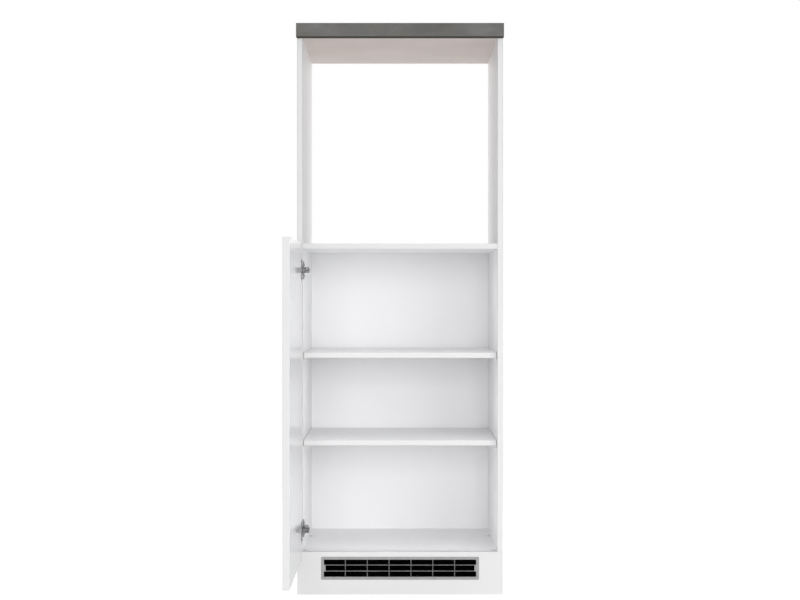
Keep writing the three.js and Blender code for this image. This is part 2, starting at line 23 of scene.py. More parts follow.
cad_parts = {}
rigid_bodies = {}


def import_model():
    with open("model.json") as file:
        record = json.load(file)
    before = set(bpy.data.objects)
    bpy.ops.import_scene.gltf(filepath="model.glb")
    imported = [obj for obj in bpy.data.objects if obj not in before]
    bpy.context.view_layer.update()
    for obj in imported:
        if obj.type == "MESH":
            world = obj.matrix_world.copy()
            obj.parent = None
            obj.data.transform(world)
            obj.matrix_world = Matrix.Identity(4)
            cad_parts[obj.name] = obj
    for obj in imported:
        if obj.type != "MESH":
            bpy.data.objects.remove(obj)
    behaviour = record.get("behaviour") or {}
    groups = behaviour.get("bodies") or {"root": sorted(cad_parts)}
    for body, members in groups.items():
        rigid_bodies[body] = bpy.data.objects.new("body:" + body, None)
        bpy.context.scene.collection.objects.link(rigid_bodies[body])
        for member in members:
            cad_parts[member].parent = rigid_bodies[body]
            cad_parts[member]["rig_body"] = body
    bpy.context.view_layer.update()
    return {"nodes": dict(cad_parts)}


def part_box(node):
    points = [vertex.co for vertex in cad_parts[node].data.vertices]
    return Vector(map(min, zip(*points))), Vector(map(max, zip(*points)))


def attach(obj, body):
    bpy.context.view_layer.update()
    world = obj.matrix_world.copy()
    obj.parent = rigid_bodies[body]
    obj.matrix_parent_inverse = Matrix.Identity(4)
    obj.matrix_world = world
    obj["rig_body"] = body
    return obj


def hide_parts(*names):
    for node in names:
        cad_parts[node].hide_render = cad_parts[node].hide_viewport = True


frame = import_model()

log = logging.getLogger("oven_housing")
Array = np.ndarray
Warp = Callable[[Array], Array]
Pair = tuple[float, float]
Triple = tuple[float, float, float]
Tree = bpy.types.NodeTree
Corners = Sequence[Sequence[float]]

MILLIMETRE = 0.001
MERGE_DISTANCE = 1e-7
SHARP_ANGLE = math.radians(34)
MITRE_LIMIT = 0.4
TINY = 1e-12


class Facing(Enum):
    """How a piece drawn in (u, v) with height w lies: the axes that u, v and w become, and their signs."""

    UP = ((0, 1, 2), (1, 1, 1))
    ACROSS = ((1, 2, 0), (1, 1, 1))
    FRONT = ((0, 2, 1), (1, 1, -1))

    def place(self, points: Array) -> Array:
        """Turns drawn points into the frame's axes.

        Args:
            points: An array whose last axis is (u, v, w).

        Returns:
            The same points as (x, y, z).
        """
        axes, signs = self.value
        placed = np.empty_like(points)
        for column, (axis, sign) in enumerate(zip(axes, signs)):
            placed[..., axis] = sign * points[..., column]
        return placed


class Lay(Enum):
    """How a board lies: weights of its normal's parts that pick the clad faces, and the chips' size in mm."""

    UPRIGHT_SIDE = ((1.0, 0.0, 0.0), (0.7, 3.2, 3.2))
    FLAT = ((0.0, 0.0, 1.0), (3.2, 3.2, 0.7))
    UPRIGHT_FRONT = ((1.0, 1.0, 1.0), (3.2, 0.7, 3.2))
    NO_CLADDING = ((0.0, 0.0, 0.0), (3.6, 3.6, 0.9))


# Outlines, all as arrays of (u, v)


def arc(centre: Sequence[float], radius: float, start: float, end: float, count: int) -> Array:
    """Points on a circle: centre + radius (cos t, sin t), for t from start to end in degrees.

    Args:
        centre: The circle's middle.
        radius: Its radius.
        start: First angle in degrees.
        end: Last angle in degrees.
        count: Number of points.

    Returns:
        The points, one a row.
    """
    turn = np.radians(np.linspace(start, end, count))
    return np.column_stack([centre[0] + radius * np.cos(turn), centre[1] + radius * np.sin(turn)])


def rounded_loop(half_u: float, half_v: float, radius: float, count: int = 6) -> Array:
    """A rectangle with round corners: four quarter circles, each set in from its corner by the radius.

    Args:
        half_u: Half the width.
        half_v: Half the height.
        radius: The corners' radius.
        count: Points on each quarter circle.

    Returns:
        The closed outline, counterclockwise.
    """
    corners = ((1, -1, -90), (1, 1, 0), (-1, 1, 90), (-1, -1, 180))
    return np.vstack([
        arc((u * (half_u - radius), v * (half_v - radius)), radius, start, start + 90, count)
        for u, v, start in corners
    ])


def softened(corners: Corners, radii: Sequence[float] | float, count: int = 5) -> Array:
    """A polygon with eased corners: from A before each corner P to B after it, (1-t)²A + 2t(1-t)P + t²B.

    Args:
        corners: The polygon's corners.
        radii: How far before and after each corner the easing reaches.
        count: Points on each eased corner.

    Returns:
        The closed outline, counterclockwise.
    """
    points = np.array(corners, float)
    reach = np.broadcast_to(np.array(radii, float), len(points))[:, None]
    if signed_area(points) < 0:
        points, reach = points[::-1], reach[::-1]
    before = points + reach * unit(np.roll(points, 1, axis=0) - points)
    after = points + reach * unit(np.roll(points, -1, axis=0) - points)
    share = np.linspace(0, 1, count)[None, :, None]
    leaving = (1 - share) ** 2 * before[:, None]
    turning = 2 * share * (1 - share) * points[:, None]
    arriving = share**2 * after[:, None]
    return (leaving + turning + arriving).reshape(-1, 2)


def stroke(path: Array, halves: Array, count: int = 9) -> Array:
    """Outline of a bar: the path moved half a width to each side along its normal, with half circles as ends.

    Args:
        path: The bar's middle line.
        halves: Half the bar's width at each point of the path.
        count: Points on each end's half circle.

    Returns:
        The closed outline, counterclockwise.
    """
    run = unit(np.gradient(path, axis=0))
    aside = np.column_stack([-run[:, 1], run[:, 0]]) * halves[:, None]
    heading = np.degrees(np.arctan2(run[:, 1], run[:, 0]))
    first = arc(path[0], halves[0], heading[0] + 90, heading[0] + 270, count)
    last = arc(path[-1], halves[-1], heading[-1] - 90, heading[-1] + 90, count)
    return np.vstack([first, (path - aside)[1:-1], last, (path + aside)[-2:0:-1]])


def bent_path(corners: Corners, count: int = 64, passes: int = 40) -> Array:
    """A bent line through the corners, resampled evenly and eased by repeated three-point means.

    Args:
        corners: The line's corners.
        count: Number of points.
        passes: Number of means, which sets how wide the bends are.

    Returns:
        The points of the line.
    """
    points = np.array(corners, float)
    run = np.concatenate([[0.0], np.cumsum(np.linalg.norm(np.diff(points, axis=0), axis=1))])
    even = np.linspace(0, run[-1], count)
    line = np.column_stack([np.interp(even, run, points[:, axis]) for axis in range(2)])
    for _ in range(passes):
        line[1:-1] = (line[:-2] + 2 * line[1:-1] + line[2:]) / 4
    return line


def unit(vectors: Array) -> Array:
    """Vectors divided by their lengths."""
    return vectors / (np.linalg.norm(vectors, axis=-1, keepdims=True) + TINY)


def signed_area(outline: Array) -> float:
    """Area inside a closed outline, positive where it runs counterclockwise."""
    after = np.roll(outline, -1, axis=0)
    return float(np.sum(outline[:, 0] * after[:, 1] - after[:, 0] * outline[:, 1]) / 2)


def inset(outline: Array, distance: float) -> Array:
    """Moves a closed outline inwards: each point along its sides' mean normal, by distance / cos(half turn).

    Args:
        outline: The outline, counterclockwise.
        distance: How far each side moves.

    Returns:
        The moved outline.
    """
    run = unit(np.roll(outline, -1, axis=0) - outline)
    normal = np.column_stack([-run[:, 1], run[:, 0]])
    mean = unit(normal + np.roll(normal, 1, axis=0))
    cosine = np.clip(np.sum(mean * normal, axis=1), MITRE_LIMIT, 1.0)
    return outline + mean * (distance / cosine)[:, None]


def at_height(outline: Array, height: float) -> Array:
    """An outline's points as (u, v, w), all at one height w."""
    return np.column_stack([outline, np.full(len(outline), height)])


def smooth_step(low: float, high: float, value: Array) -> Array:
    """Rises from 0 at low to 1 at high as 3t² - 2t³."""
    share = np.clip((value - low) / (high - low), 0, 1)
    return share * share * (3 - 2 * share)


def inside(value: Array, edge: float, wall: float) -> Array:
    """1 where a value lies between -edge and edge, 0 beyond, with a smooth wall of twice the given width."""
    return 1 - smooth_step(edge - wall, edge + wall, np.abs(value))


def caps_of(loops: Sequence[Array]) -> list[tuple[int, ...]]:
    """Triangles that fill a flat outline, less its holes, as indices into all its points."""
    return tessellate_polygon([[Vector((*point, 0.0)) for point in loop.tolist()] for loop in loops])


def rim_of(sheet: Array) -> Array:
    """The points round the four sides of a grid, in order."""
    return np.vstack([sheet[:-1, 0], sheet[-1, :-1], sheet[:0:-1, -1], sheet[0, :0:-1]])


@dataclass
class Shell:
    """One piece's mesh, gathered from patches and built once.

    Attributes:
        origin: Where the drawing's zero lies in the frame, in mm.
    """

    origin: Sequence[float] = (0.0, 0.0, 0.0)
    points: list[Array] = field(default_factory=list)
    faces: list[tuple[int, ...]] = field(default_factory=list)
    count: int = 0

    def store(self, points: Array, facing: Facing, warp: Warp | None = None) -> int:
        """Keeps points after their turn into the frame's axes.

        Args:
            points: The patch's points as (u, v, w).
            facing: Which way the patch lies.
            warp: A further change of the placed points.

        Returns:
            The index of the first of them.
        """
        placed = facing.place(np.asarray(points, float).reshape(-1, 3))
        if warp is not None:
            placed = warp(placed)
        first = self.count
        self.points.append(placed + np.array(self.origin, float))
        self.count += len(placed)
        return first

    def grid(
        self,
        points: Array,
        facing: Facing,
        close: tuple[bool, bool],
        warp: Warp | None = None,
    ) -> Array:
        """Adds a surface p(i, j) as one quad between each four neighbours.

        Args:
            points: Array of rows, columns and (u, v, w).
            facing: Which way the patch lies.
            close: Whether the last row joins the first, and the last column the first.
            warp: A further change of the placed points.

        Returns:
            The points' indices by row and column.
        """
        rows, columns = points.shape[:2]
        index = self.store(points, facing, warp) + np.arange(rows * columns).reshape(rows, columns)
        net = np.vstack([index, index[:1]]) if close[0] else index
        net = np.hstack([net, net[:, :1]]) if close[1] else net
        quads = np.stack([net[:-1, :-1], net[:-1, 1:], net[1:, 1:], net[1:, :-1]], axis=-1)
        self.faces.extend(map(tuple, quads.reshape(-1, 4).tolist()))
        return index

    def lid(self, loops: Sequence[Array], height: float, facing: Facing, warp: Warp | None = None) -> None:
        """Closes an outline, less its holes, with flat triangles.

        Args:
            loops: The outline, then any holes.
            height: The lid's w.
            facing: Which way the patch lies.
            warp: A further change of the placed points.
        """
        first = self.store(at_height(np.vstack(loops), height), facing, warp)
        self.faces.extend(tuple(first + corner for corner in cap) for cap in caps_of(loops))

    def plate(
        self,
        outline: Array,
        span: Pair,
        facing: Facing,
        rims: Pair = (0.0, 0.0),
        holes: Sequence[Array] = (),
        warp: Warp | None = None,
        steps: int = 4,
    ) -> None:
        """A slab with round rims: at the angle t of a rim of radius r the outline is inset by r (1 - sin t).

        Args:
            outline: The slab's outline.
            span: Its lower and upper height.
            facing: Which way it lies.
            rims: Radius of the lower and of the upper rim.
            holes: Outlines cut through it.
            warp: A further change of the placed points.
            steps: Faces on each rim.
        """
        turn = np.radians(np.linspace(0, 90, steps + 1))
        low = [(rims[0] * (1 - math.sin(t)), span[0] + rims[0] * (1 - math.cos(t))) for t in turn]
        high = [(rims[1] * (1 - math.cos(t)), span[1] - rims[1] * (1 - math.sin(t))) for t in turn]
        levels = (low if rims[0] else low[-1:]) + (high if rims[1] else high[:1])
        rings = [at_height(inset(outline, gap), height) for gap, height in levels]
        self.grid(np.array(rings), facing, (False, True), warp)
        for hole in holes:
            walls = [at_height(hole, height) for height in span]
            self.grid(np.array(walls), facing, (False, True), warp)
        for gap, height in (levels[0], levels[-1]):
            self.lid([inset(outline, gap), *holes], height, facing, warp)

    def carried(self, profile: Array, loop_at: Callable[[float], Array], facing: Facing) -> None:
        """A closed profile carried round a closed path that is inset by gap at the profile's point (gap, w).

        Args:
            profile: Rows of (gap, w), closed.
            loop_at: Gives the path for a gap, always with as many points.
            facing: Which way it lies.
        """
        rings = [at_height(loop_at(gap), height) for gap, height in profile.tolist()]
        self.grid(np.array(rings), facing, (True, True))

    def turned(
        self,
        profile: Corners,
        centre: Sequence[float],
        facing: Facing,
        sides: int = 40,
        warp: Warp | None = None,
    ) -> None:
        """A profile from r = 0 to r = 0 turned round an axis: (r cos t, r sin t, w) for t over a full turn.

        Args:
            profile: Rows of (r, w).
            centre: The axis's (u, v).
            facing: Which way the axis lies.
            sides: Points on each ring.
            warp: A further change of the placed points.
        """
        line = np.array(profile, float)
        turn = np.linspace(0, 2 * math.pi, sides, endpoint=False)
        points = np.empty((len(line), sides, 3))
        points[..., 0] = centre[0] + np.outer(line[:, 0], np.cos(turn))
        points[..., 1] = centre[1] + np.outer(line[:, 0], np.sin(turn))
        points[..., 2] = line[:, 1:2]
        self.grid(points, facing, (False, True), warp)

    def rounded_box(
        self,
        low: Sequence[float],
        high: Sequence[float],
        radius: float,
        warp: Warp | None = None,
        count: int = 4,
    ) -> None:
        """A box with round edges: middle + sign(n) (half - r) + r n, with n the normal of a unit sphere.

        The longitude and the latitude of n are doubled where a sign changes, and the flat faces open there.

        Args:
            low: Lowest corner.
            high: Highest corner.
            radius: The edges' radius.
            warp: A further change of the placed points.
            count: Points on each quarter turn.
        """
        bottom, top = np.array(low, float), np.array(high, float)
        core = (top - bottom) / 2 - radius
        quarter = np.radians(np.linspace(0, 90, count))
        longitude = np.concatenate([quarter + math.pi / 2 * turn for turn in range(4)])
        latitude = np.concatenate([quarter - math.pi / 2, quarter])
        sign_x = np.repeat([1, -1, -1, 1], count)
        sign_y = np.repeat([1, 1, -1, -1], count)
        sign_z = np.repeat([-1, 1], count)
        points = np.empty((len(latitude), len(longitude), 3))
        points[..., 0] = sign_x * core[0] + radius * np.outer(np.cos(latitude), np.cos(longitude))
        points[..., 1] = sign_y * core[1] + radius * np.outer(np.cos(latitude), np.sin(longitude))
        points[..., 2] = (sign_z * core[2] + radius * np.sin(latitude))[:, None]
        index = self.grid(points + (bottom + top) / 2, Facing.UP, (False, True), warp)
        for row in (index[0], index[-1]):
            self.faces.append(tuple(row[::count].tolist()))

    def screw_head(
        self,
        centre: Sequence[float],
        seat: float,
        radius: float,
        height: float,
        facing: Facing,
        dome: float = 0.45,
    ) -> None:
        """A pan head with a cross recess, on a square grid drawn out to a disc.

        A grid point (a, b) in [-1, 1]² goes to (a sqrt(1 - b²/2), b sqrt(1 - a²/2)). Its height is that of a
        dome, which falls with the radius to the fourth, less the recess where |a| or |b| is inside an arm.

        Args:
            centre: The screw's axis as (u, v).
            seat: Height of the face that the head lies on.
            radius: The head's radius.
            height: The head's height.
            facing: Which way the axis lies.
            dome: How far the head falls towards its rim, as a share of its height.
        """
        arm, reach, wall, recess_share = 0.17, 0.66, 0.035, 0.75
        half = np.concatenate([
            np.linspace(0, arm - wall, 3),
            np.linspace(arm + wall, reach - wall, 5),
            np.linspace(reach + wall, 1, 5),
        ])
        line = np.concatenate([-half[:0:-1], half])
        a, b = np.meshgrid(line, line, indexing="ij")
        lengthwise = inside(a, arm, wall) * inside(b, reach, wall)
        crosswise = inside(b, arm, wall) * inside(a, reach, wall)
        u, v = a * np.sqrt(1 - b * b / 2), b * np.sqrt(1 - a * a / 2)
        from_axis = u * u + v * v
        top = height * (1 - dome * from_axis**2) - recess_share * height * np.maximum(lengthwise, crosswise)
        points = np.stack([centre[0] + radius * u, centre[1] + radius * v, seat + top], axis=-1)
        self.grid(points, facing, (False, False))
        rim = rim_of(points)
        foot = rim.copy()
        foot[:, 2] = seat
        middle = np.broadcast_to([centre[0], centre[1], seat], foot.shape)
        self.grid(np.array([rim, foot, middle]), facing, (False, True))

    def built(self, name: str) -> bpy.types.Object:
        """Makes the object: joins equal points, turns the faces outwards and marks the sharp edges.

        Args:
            name: The object's name.

        Returns:
            The new object, at the origin, in the scene.
        """
        mesh = bpy.data.meshes.new(name)
        mesh.from_pydata((np.vstack(self.points) * MILLIMETRE).tolist(), [], self.faces)
        work = bmesh.new()
        work.from_mesh(mesh)
        bmesh.ops.remove_doubles(work, verts=work.verts, dist=MERGE_DISTANCE)
        bmesh.ops.dissolve_degenerate(work, edges=work.edges, dist=MERGE_DISTANCE)
        bmesh.ops.recalc_face_normals(work, faces=work.faces)
        work.to_mesh(mesh)
        work.free()
        mesh.polygons.foreach_set("use_smooth", np.ones(len(mesh.polygons), bool))
        mesh.set_sharp_from_angle(angle=SHARP_ANGLE)
        piece = bpy.data.objects.new(name, mesh)
        bpy.context.scene.collection.objects.link(piece)
        weighted = piece.modifiers.new("even_shading", "WEIGHTED_NORMAL")
        weighted.keep_sharp = True
        return piece


# Finishes

# Where most values of a noise lie. Numbers of a Mix node's sockets: its share, and the two values or colours
# that it mixes.
MOST_OF_NOISE = (0.3, 0.7)
SHARE, VALUE_A, VALUE_B, COLOUR_A, COLOUR_B = 0, 2, 3, 6, 7
OF_COLOURS = {"output": 2, "data_type": "RGBA"}
Drawn = tuple[Any, Any, Any, Any, Any]


def linear(colour: str) -> tuple[float, float, float, float]:
    """An sRGB hex colour as linear red, green, blue and alpha."""
    parts = [int(colour[start:start + 2], 16) / 255 for start in (1, 3, 5)]
    turned = [part / 12.92 if part <= 0.04045 else ((part + 0.055) / 1.055) ** 2.4 for part in parts]
    return (*turned, 1.0)


def per_metre(size: float) -> float:
    """The scale at which a pattern on metres repeats about once in the given millimetres."""
    return 1 / (size * MILLIMETRE)


def add_node(
    tree: Tree,
    kind: str,
    inputs: dict[int | str, Any] | Sequence[Any] = (),
    output: int | str = 0,
    **settings: Any,
) -> bpy.types.NodeSocket | None:
    """Adds a node with its settings, values and links.

    Args:
        tree: The material's or the world's node tree.
        kind: The node's type without the ShaderNode in front.
        inputs: Values to set or sockets to link, by socket name or number, or in the sockets' order.
        output: Name or number of the wanted output.
        settings: Attributes of the node.

    Returns:
        The wanted output, or None where the node has none.
    """
    node = tree.nodes.new("ShaderNode" + kind)
    for name, value in settings.items():
        setattr(node, name, value)
    for key, value in (inputs.items() if isinstance(inputs, dict) else enumerate(inputs)):
        if isinstance(value, bpy.types.NodeSocket):
            tree.links.new(value, node.inputs[key])
        else:
            node.inputs[key].default_value = value
    return node.outputs[output] if node.outputs else None


@dataclass(frozen=True)
class Finish:
    """What a surface is made of.

    Attributes:
        title: The material's name.
        slot: The record's material slot; not used.
        colour: Main colour, sRGB.
        roughness: Mean roughness.
        relief: Height of the surface's relief, mm.
        metallic: 1 for bare or plated metal.
        shine: Strength of the mirror reflection of a surface that isn't metal, 0.5 for a closed plastic skin.
        uneven: How far the roughness strays from its mean.
    """

    title: str
    slot: str
    colour: str
    roughness: float
    relief: float
    metallic: float = 0.0
    shine: float = 0.5
    uneven: float = 0.05

    def pattern(self, tree: Tree, place: Any) -> Drawn:
        """What each finish draws itself.

        Args:
            tree: The material's node tree.
            place: The socket of the Object coordinates, in metres.

        Returns:
            The share of the second colour, the two colours, the roughness and the height.
        """
        raise NotImplementedError

    def sheen(self) -> Pair:
        """The least and the greatest roughness."""
        return self.roughness - self.uneven, self.roughness + self.uneven

    def material(self) -> bpy.types.Material:
        """The node material, made once and then shared."""
        known = bpy.data.materials.get(self.title)
        if known is not None:
            return known
        made = bpy.data.materials.new(self.title)
        made.use_nodes = True
        tree = made.node_tree
        tree.nodes.clear()
        place = add_node(tree, "TexCoord", output="Object")
        share, first, second, roughness, height = self.pattern(tree, place)
        colours = {SHARE: share, COLOUR_A: first, COLOUR_B: second}
        bump = add_node(tree, "Bump", {"Distance": self.relief * MILLIMETRE, "Height": height})
        sockets = {
            "Base Color": add_node(tree, "Mix", colours, **OF_COLOURS),
            "Roughness": roughness,
            "Metallic": self.metallic,
            "Specular IOR Level": self.shine,
            "Normal": bump,
        }
        add_node(tree, "OutputMaterial", [add_node(tree, "BsdfPrincipled", sockets)])
        return made

    def dress(self, piece: bpy.types.Object) -> None:
        """Gives the piece this finish alone."""
        piece.data.materials.clear()
        piece.data.materials.append(self.material())

    def dress_nodes(self, nodes: Sequence[str]) -> None:
        """Gives CAD nodes this finish, with their meshes as they are."""
        for node in nodes:
            self.dress(frame["nodes"][node])
            log.info("%s: CAD mesh, %s", node, self.title)


@dataclass(frozen=True)
class CladBoard(Finish):
    """Melamine-faced chipboard, pressed between polished plates.

    Its face is smooth, closed and white, with a fine pearl, glossy at a flat angle, and slow waves where the
    chips press through. Its sawn edges show the glued chips.

    Attributes:
        lay: How the board lies, which says what faces are clad.
        pearl: Grain of the resin face, mm.
        wave: Length of the slow waves, mm.
        wave_share: How much higher the waves are than the pearl.
        turn: Part of the normal across the clad faces, from where it is all raw to where it is all clad.
        chip_light: Colour of the pale chips.
        chip_dark: Colour of the dark chips and gaps.
        chip_tones: Products of chip and fibre that give the dark and the pale colour.
        fibres_per_chip: Fibres across one chip.
        raw_rise: How much higher the sawn relief is than the pearl.
        raw_roughness: Roughness of a sawn edge.
    """

    uneven: float = 0.03
    lay: Lay = Lay.FLAT
    pearl: float = 1.4
    wave: float = 26.0
    wave_share: float = 6.0
    turn: Pair = (0.4, 0.6)
    chip_light: str = "#CDB28A"
    chip_dark: str = "#8E6E49"
    chip_tones: Pair = (0.05, 0.6)
    fibres_per_chip: float = 2.3
    raw_rise: float = 14.0
    raw_roughness: float = 0.9

    def pattern(self, tree: Tree, place: Any) -> Drawn:
        """Clad faces by the object's own normal, and chips on the rest."""
        faces, chip = self.lay.value
        normal = add_node(tree, "TexCoord", output="Normal")
        plain = add_node(tree, "VectorMath", [normal], operation="ABSOLUTE")
        facing = add_node(tree, "VectorMath", [plain, faces], "Value", operation="DOT_PRODUCT")
        raw = add_node(tree, "MapRange", [facing, *self.turn, 1.0, 0.0])
        laid = add_node(tree, "Mapping", {"Vector": place, "Scale": tuple(per_metre(size) for size in chip)})
        chips = add_node(tree, "TexVoronoi", {"Vector": laid, "Scale": 1.0}, "Color")
        fibres = add_node(tree, "TexNoise", {"Vector": laid, "Scale": self.fibres_per_chip, "Detail": 4.0})
        tint = add_node(tree, "Math", [chips, fibres], operation="MULTIPLY")
        light = add_node(tree, "MapRange", [tint, *self.chip_tones, 0.0, 1.0])
        wood = {SHARE: light, COLOUR_A: linear(self.chip_dark), COLOUR_B: linear(self.chip_light)}
        sawn = add_node(tree, "Mix", wood, **OF_COLOURS)
        pearl = add_node(tree, "TexNoise", {"Vector": place, "Scale": per_metre(self.pearl)})
        wave = add_node(tree, "TexNoise", {"Vector": place, "Scale": per_metre(self.wave), "Detail": 0.0})
        face = add_node(tree, "Math", [wave, self.wave_share, pearl], operation="MULTIPLY_ADD")
        rises = add_node(tree, "MapRange", [fibres, 0.0, 1.0, 0.0, self.raw_rise])
        relief = add_node(tree, "Mix", {SHARE: raw, VALUE_A: face, VALUE_B: rises})
        gloss = add_node(tree, "MapRange", [pearl, *MOST_OF_NOISE, *self.sheen()])
        rough = add_node(tree, "Mix", {SHARE: raw, VALUE_A: gloss, VALUE_B: self.raw_roughness})
        return raw, linear(self.colour), sawn, rough, relief


@dataclass(frozen=True)
class FibreBoard(Finish):
    """Thin hardboard: smooth satin lacquer on the side that faces the shelves, and bare pressed fibre behind.

    The fibre is brown, dull and blotchy.

    Attributes:
        turn: Depth part of the normal, from where the lacquered front ends to where it is all bare.
        bare: Colour of the bare fibre.
        burnt: Colour of its darker blotches.
        tones: Products of fibre and blotch that give the burnt and the bare colour.
        fibre: Size of the fibres, mm.
        blotch: Size of the blotches, mm.
        raw_roughness: Roughness of the bare fibre.
    """

    turn: Pair = (-0.6, -0.4)
    bare: str = "#A5865F"
    burnt: str = "#94754F"
    tones: Pair = (0.1, 0.4)
    fibre: float = 1.1
    blotch: float = 45.0
    raw_roughness: float = 0.8

    def pattern(self, tree: Tree, place: Any) -> Drawn:
        """Lacquer where the face looks forward, fibres behind."""
        normal = add_node(tree, "TexCoord", output="Normal")
        across = add_node(tree, "SeparateXYZ", [normal], "Y")
        raw = add_node(tree, "MapRange", [across, *self.turn, 0.0, 1.0])
        fibres = add_node(tree, "TexNoise", {"Vector": place, "Scale": per_metre(self.fibre), "Detail": 5.0})
        blots = add_node(tree, "TexNoise", {"Vector": place, "Scale": per_metre(self.blotch), "Detail": 3.0})
        both = add_node(tree, "Math", [fibres, blots], operation="MULTIPLY")
        share = add_node(tree, "MapRange", [both, *self.tones, 0.0, 1.0])
        tones = {SHARE: share, COLOUR_A: linear(self.burnt), COLOUR_B: linear(self.bare)}
        brown = add_node(tree, "Mix", tones, **OF_COLOURS)
        rough = add_node(tree, "MapRange", [raw, 0.0, 1.0, self.roughness, self.raw_roughness])
        return raw, linear(self.colour), brown, rough, fibres


@dataclass(frozen=True)
class EdgeBanding(Finish):
    """White ABS band, calendered and trimmed by a rounding cutter: satin, with faint cutter marks.

    Attributes:
        ripple: Spacing of the cutter marks, mm.
        marked: How much of the colour the marks keep.
    """

    uneven: float = 0.04
    ripple: float = 2.4
    marked: float = 0.985

    def pattern(self, tree: Tree, place: Any) -> Drawn:
        """A faint ripple in the relief and in the sheen."""
        marks = add_node(tree, "TexNoise", {"Vector": place, "Scale": per_metre(self.ripple), "Detail": 1.0})
        rough = add_node(tree, "MapRange", [marks, *MOST_OF_NOISE, *self.sheen()])
        white = linear(self.colour)
        dimmed = tuple(self.marked * part for part in white[:3]) + (1.0,)
        return marks, white, dimmed, rough, marks


@dataclass(frozen=True)
class StoneLaminate(Finish):
    """High-pressure laminate printed as grey slate and pressed with a fine stone texture.

    It is dull, with soft clouds, darker veils and small pale and dark grains. Its faces that look down are
    coloured dark: painted shade under the front edge.

    Attributes:
        dark: Colour of the darker clouds and veils.
        warm: Colour of the clouds with a brown cast.
        pale: Colour of the pale grains.
        deep: Colour of the dark grains.
        underside_shade: Dark colour of the faces that look down, painted shade under the front edge.
        underside_shade_turn: Upward part of the normal over which the painted shade comes up on the
            underside.
        cloud: Size of the clouds, mm.
        cast: Size of the clouds with a cast, mm.
        veil: Size of the veils, mm.
        grain: Size of the printed grains, mm, about twice as coarse as real print so that they show.
        shift: Where the print's repeat starts, m.
        stretch: How fast the print changes along the worktop, as a share of how fast it does across.
        even_span: Noise values between which the roughness changes.
    """

    uneven: float = 0.08
    dark: str = "#666664"
    warm: str = "#7A7571"
    pale: str = "#82827E"
    deep: str = "#474745"
    underside_shade: str = "#494643"
    underside_shade_turn: Pair = (-0.5, -0.8)
    cloud: float = 95.0
    cast: float = 42.0
    veil: float = 14.0
    grain: float = 1.6
    shift: Triple = (0.21, 0.0, 0.0)
    stretch: float = 0.45
    even_span: Pair = (0.2, 0.8)

    def pattern(self, tree: Tree, place: Any) -> Drawn:
        """Clouds, veils and grains mixed one over the other, with painted shade on the faces that look down.
        """
        print_scale = (self.stretch, 1.0, 1.0)
        printed = add_node(tree, "Mapping", {"Vector": place, "Location": self.shift, "Scale": print_scale})
        sizes = ((self.cloud, 5.0), (self.cast, 2.0), (self.veil, 6.0))
        laid = ({"Vector": printed, "Scale": per_metre(size), "Detail": detail} for size, detail in sizes)
        clouds, casts, veils = (add_node(tree, "TexNoise", inputs) for inputs in laid)
        specks = add_node(tree, "TexNoise", {"Vector": place, "Scale": per_metre(self.grain)})
        # Each layer's noise, the noise values between which it comes up, its strength and its colour
        layers = (
            (clouds, (0.35, 0.65), 1.0, self.colour),
            (casts, (0.5, 0.62), 0.7, self.warm),
            (veils, (0.3, 0.7), 0.45, self.dark),
            (specks, (0.6, 0.7), 0.5, self.pale),
            (specks, (0.38, 0.3), 0.45, self.deep),
        )
        colour: Any = linear(self.dark)
        for noise, rise, strength, tone in layers:
            share = add_node(tree, "MapRange", [noise, *rise, 0.0, strength])
            layer = {SHARE: share, COLOUR_A: colour, COLOUR_B: linear(tone)}
            colour = add_node(tree, "Mix", layer, **OF_COLOURS)
        # Faces that look down take the dark colour: painted shade under the worktop's front edge.
        up = add_node(tree, "SeparateXYZ", [add_node(tree, "TexCoord", output="Normal")], "Z")
        below = add_node(tree, "MapRange", [up, *self.underside_shade_turn, 0.0, 1.0])
        even = add_node(tree, "MapRange", [specks, *self.even_span, *self.sheen()])
        rough = add_node(tree, "Mix", {SHARE: below, VALUE_A: even, VALUE_B: 1.0})
        return below, colour, linear(self.underside_shade), rough, specks


@dataclass(frozen=True)
class BackingPaper(Finish):
    """Resin-soaked balancing paper under a worktop: dull beige with a pink cast, fibres and faint clouds.

    Attributes:
        deep: Colour of the cloudier places.
        tones: Products of fibre and cloud that give the deep and the main colour.
        fibre: Thickness of the fibres, mm.
        slender: How many times longer the fibres are along X, and along Z, than they are thick.
        cloud: Size of the clouds, mm.
    """

    deep: str = "#E9DED8"
    tones: Pair = (0.1, 0.42)
    fibre: float = 0.9
    slender: Pair = (7.0, 3.0)
    cloud: float = 130.0

    def pattern(self, tree: Tree, place: Any) -> Drawn:
        """Long thin fibres over soft clouds."""
        sizes = (self.fibre * self.slender[0], self.fibre, self.fibre * self.slender[1])
        laid = add_node(tree, "Mapping", {"Vector": place, "Scale": tuple(per_metre(size) for size in sizes)})
        fibres = add_node(tree, "TexNoise", {"Vector": laid, "Scale": 1.0, "Detail": 4.0})
        clouds = add_node(tree, "TexNoise", {"Vector": place, "Scale": per_metre(self.cloud)})
        both = add_node(tree, "Math", [fibres, clouds], operation="MULTIPLY")
        share = add_node(tree, "MapRange", [both, *self.tones, 0.0, 1.0])
        rough = add_node(tree, "MapRange", [fibres, *MOST_OF_NOISE, *self.sheen()])
        return share, linear(self.deep), linear(self.colour), rough, fibres


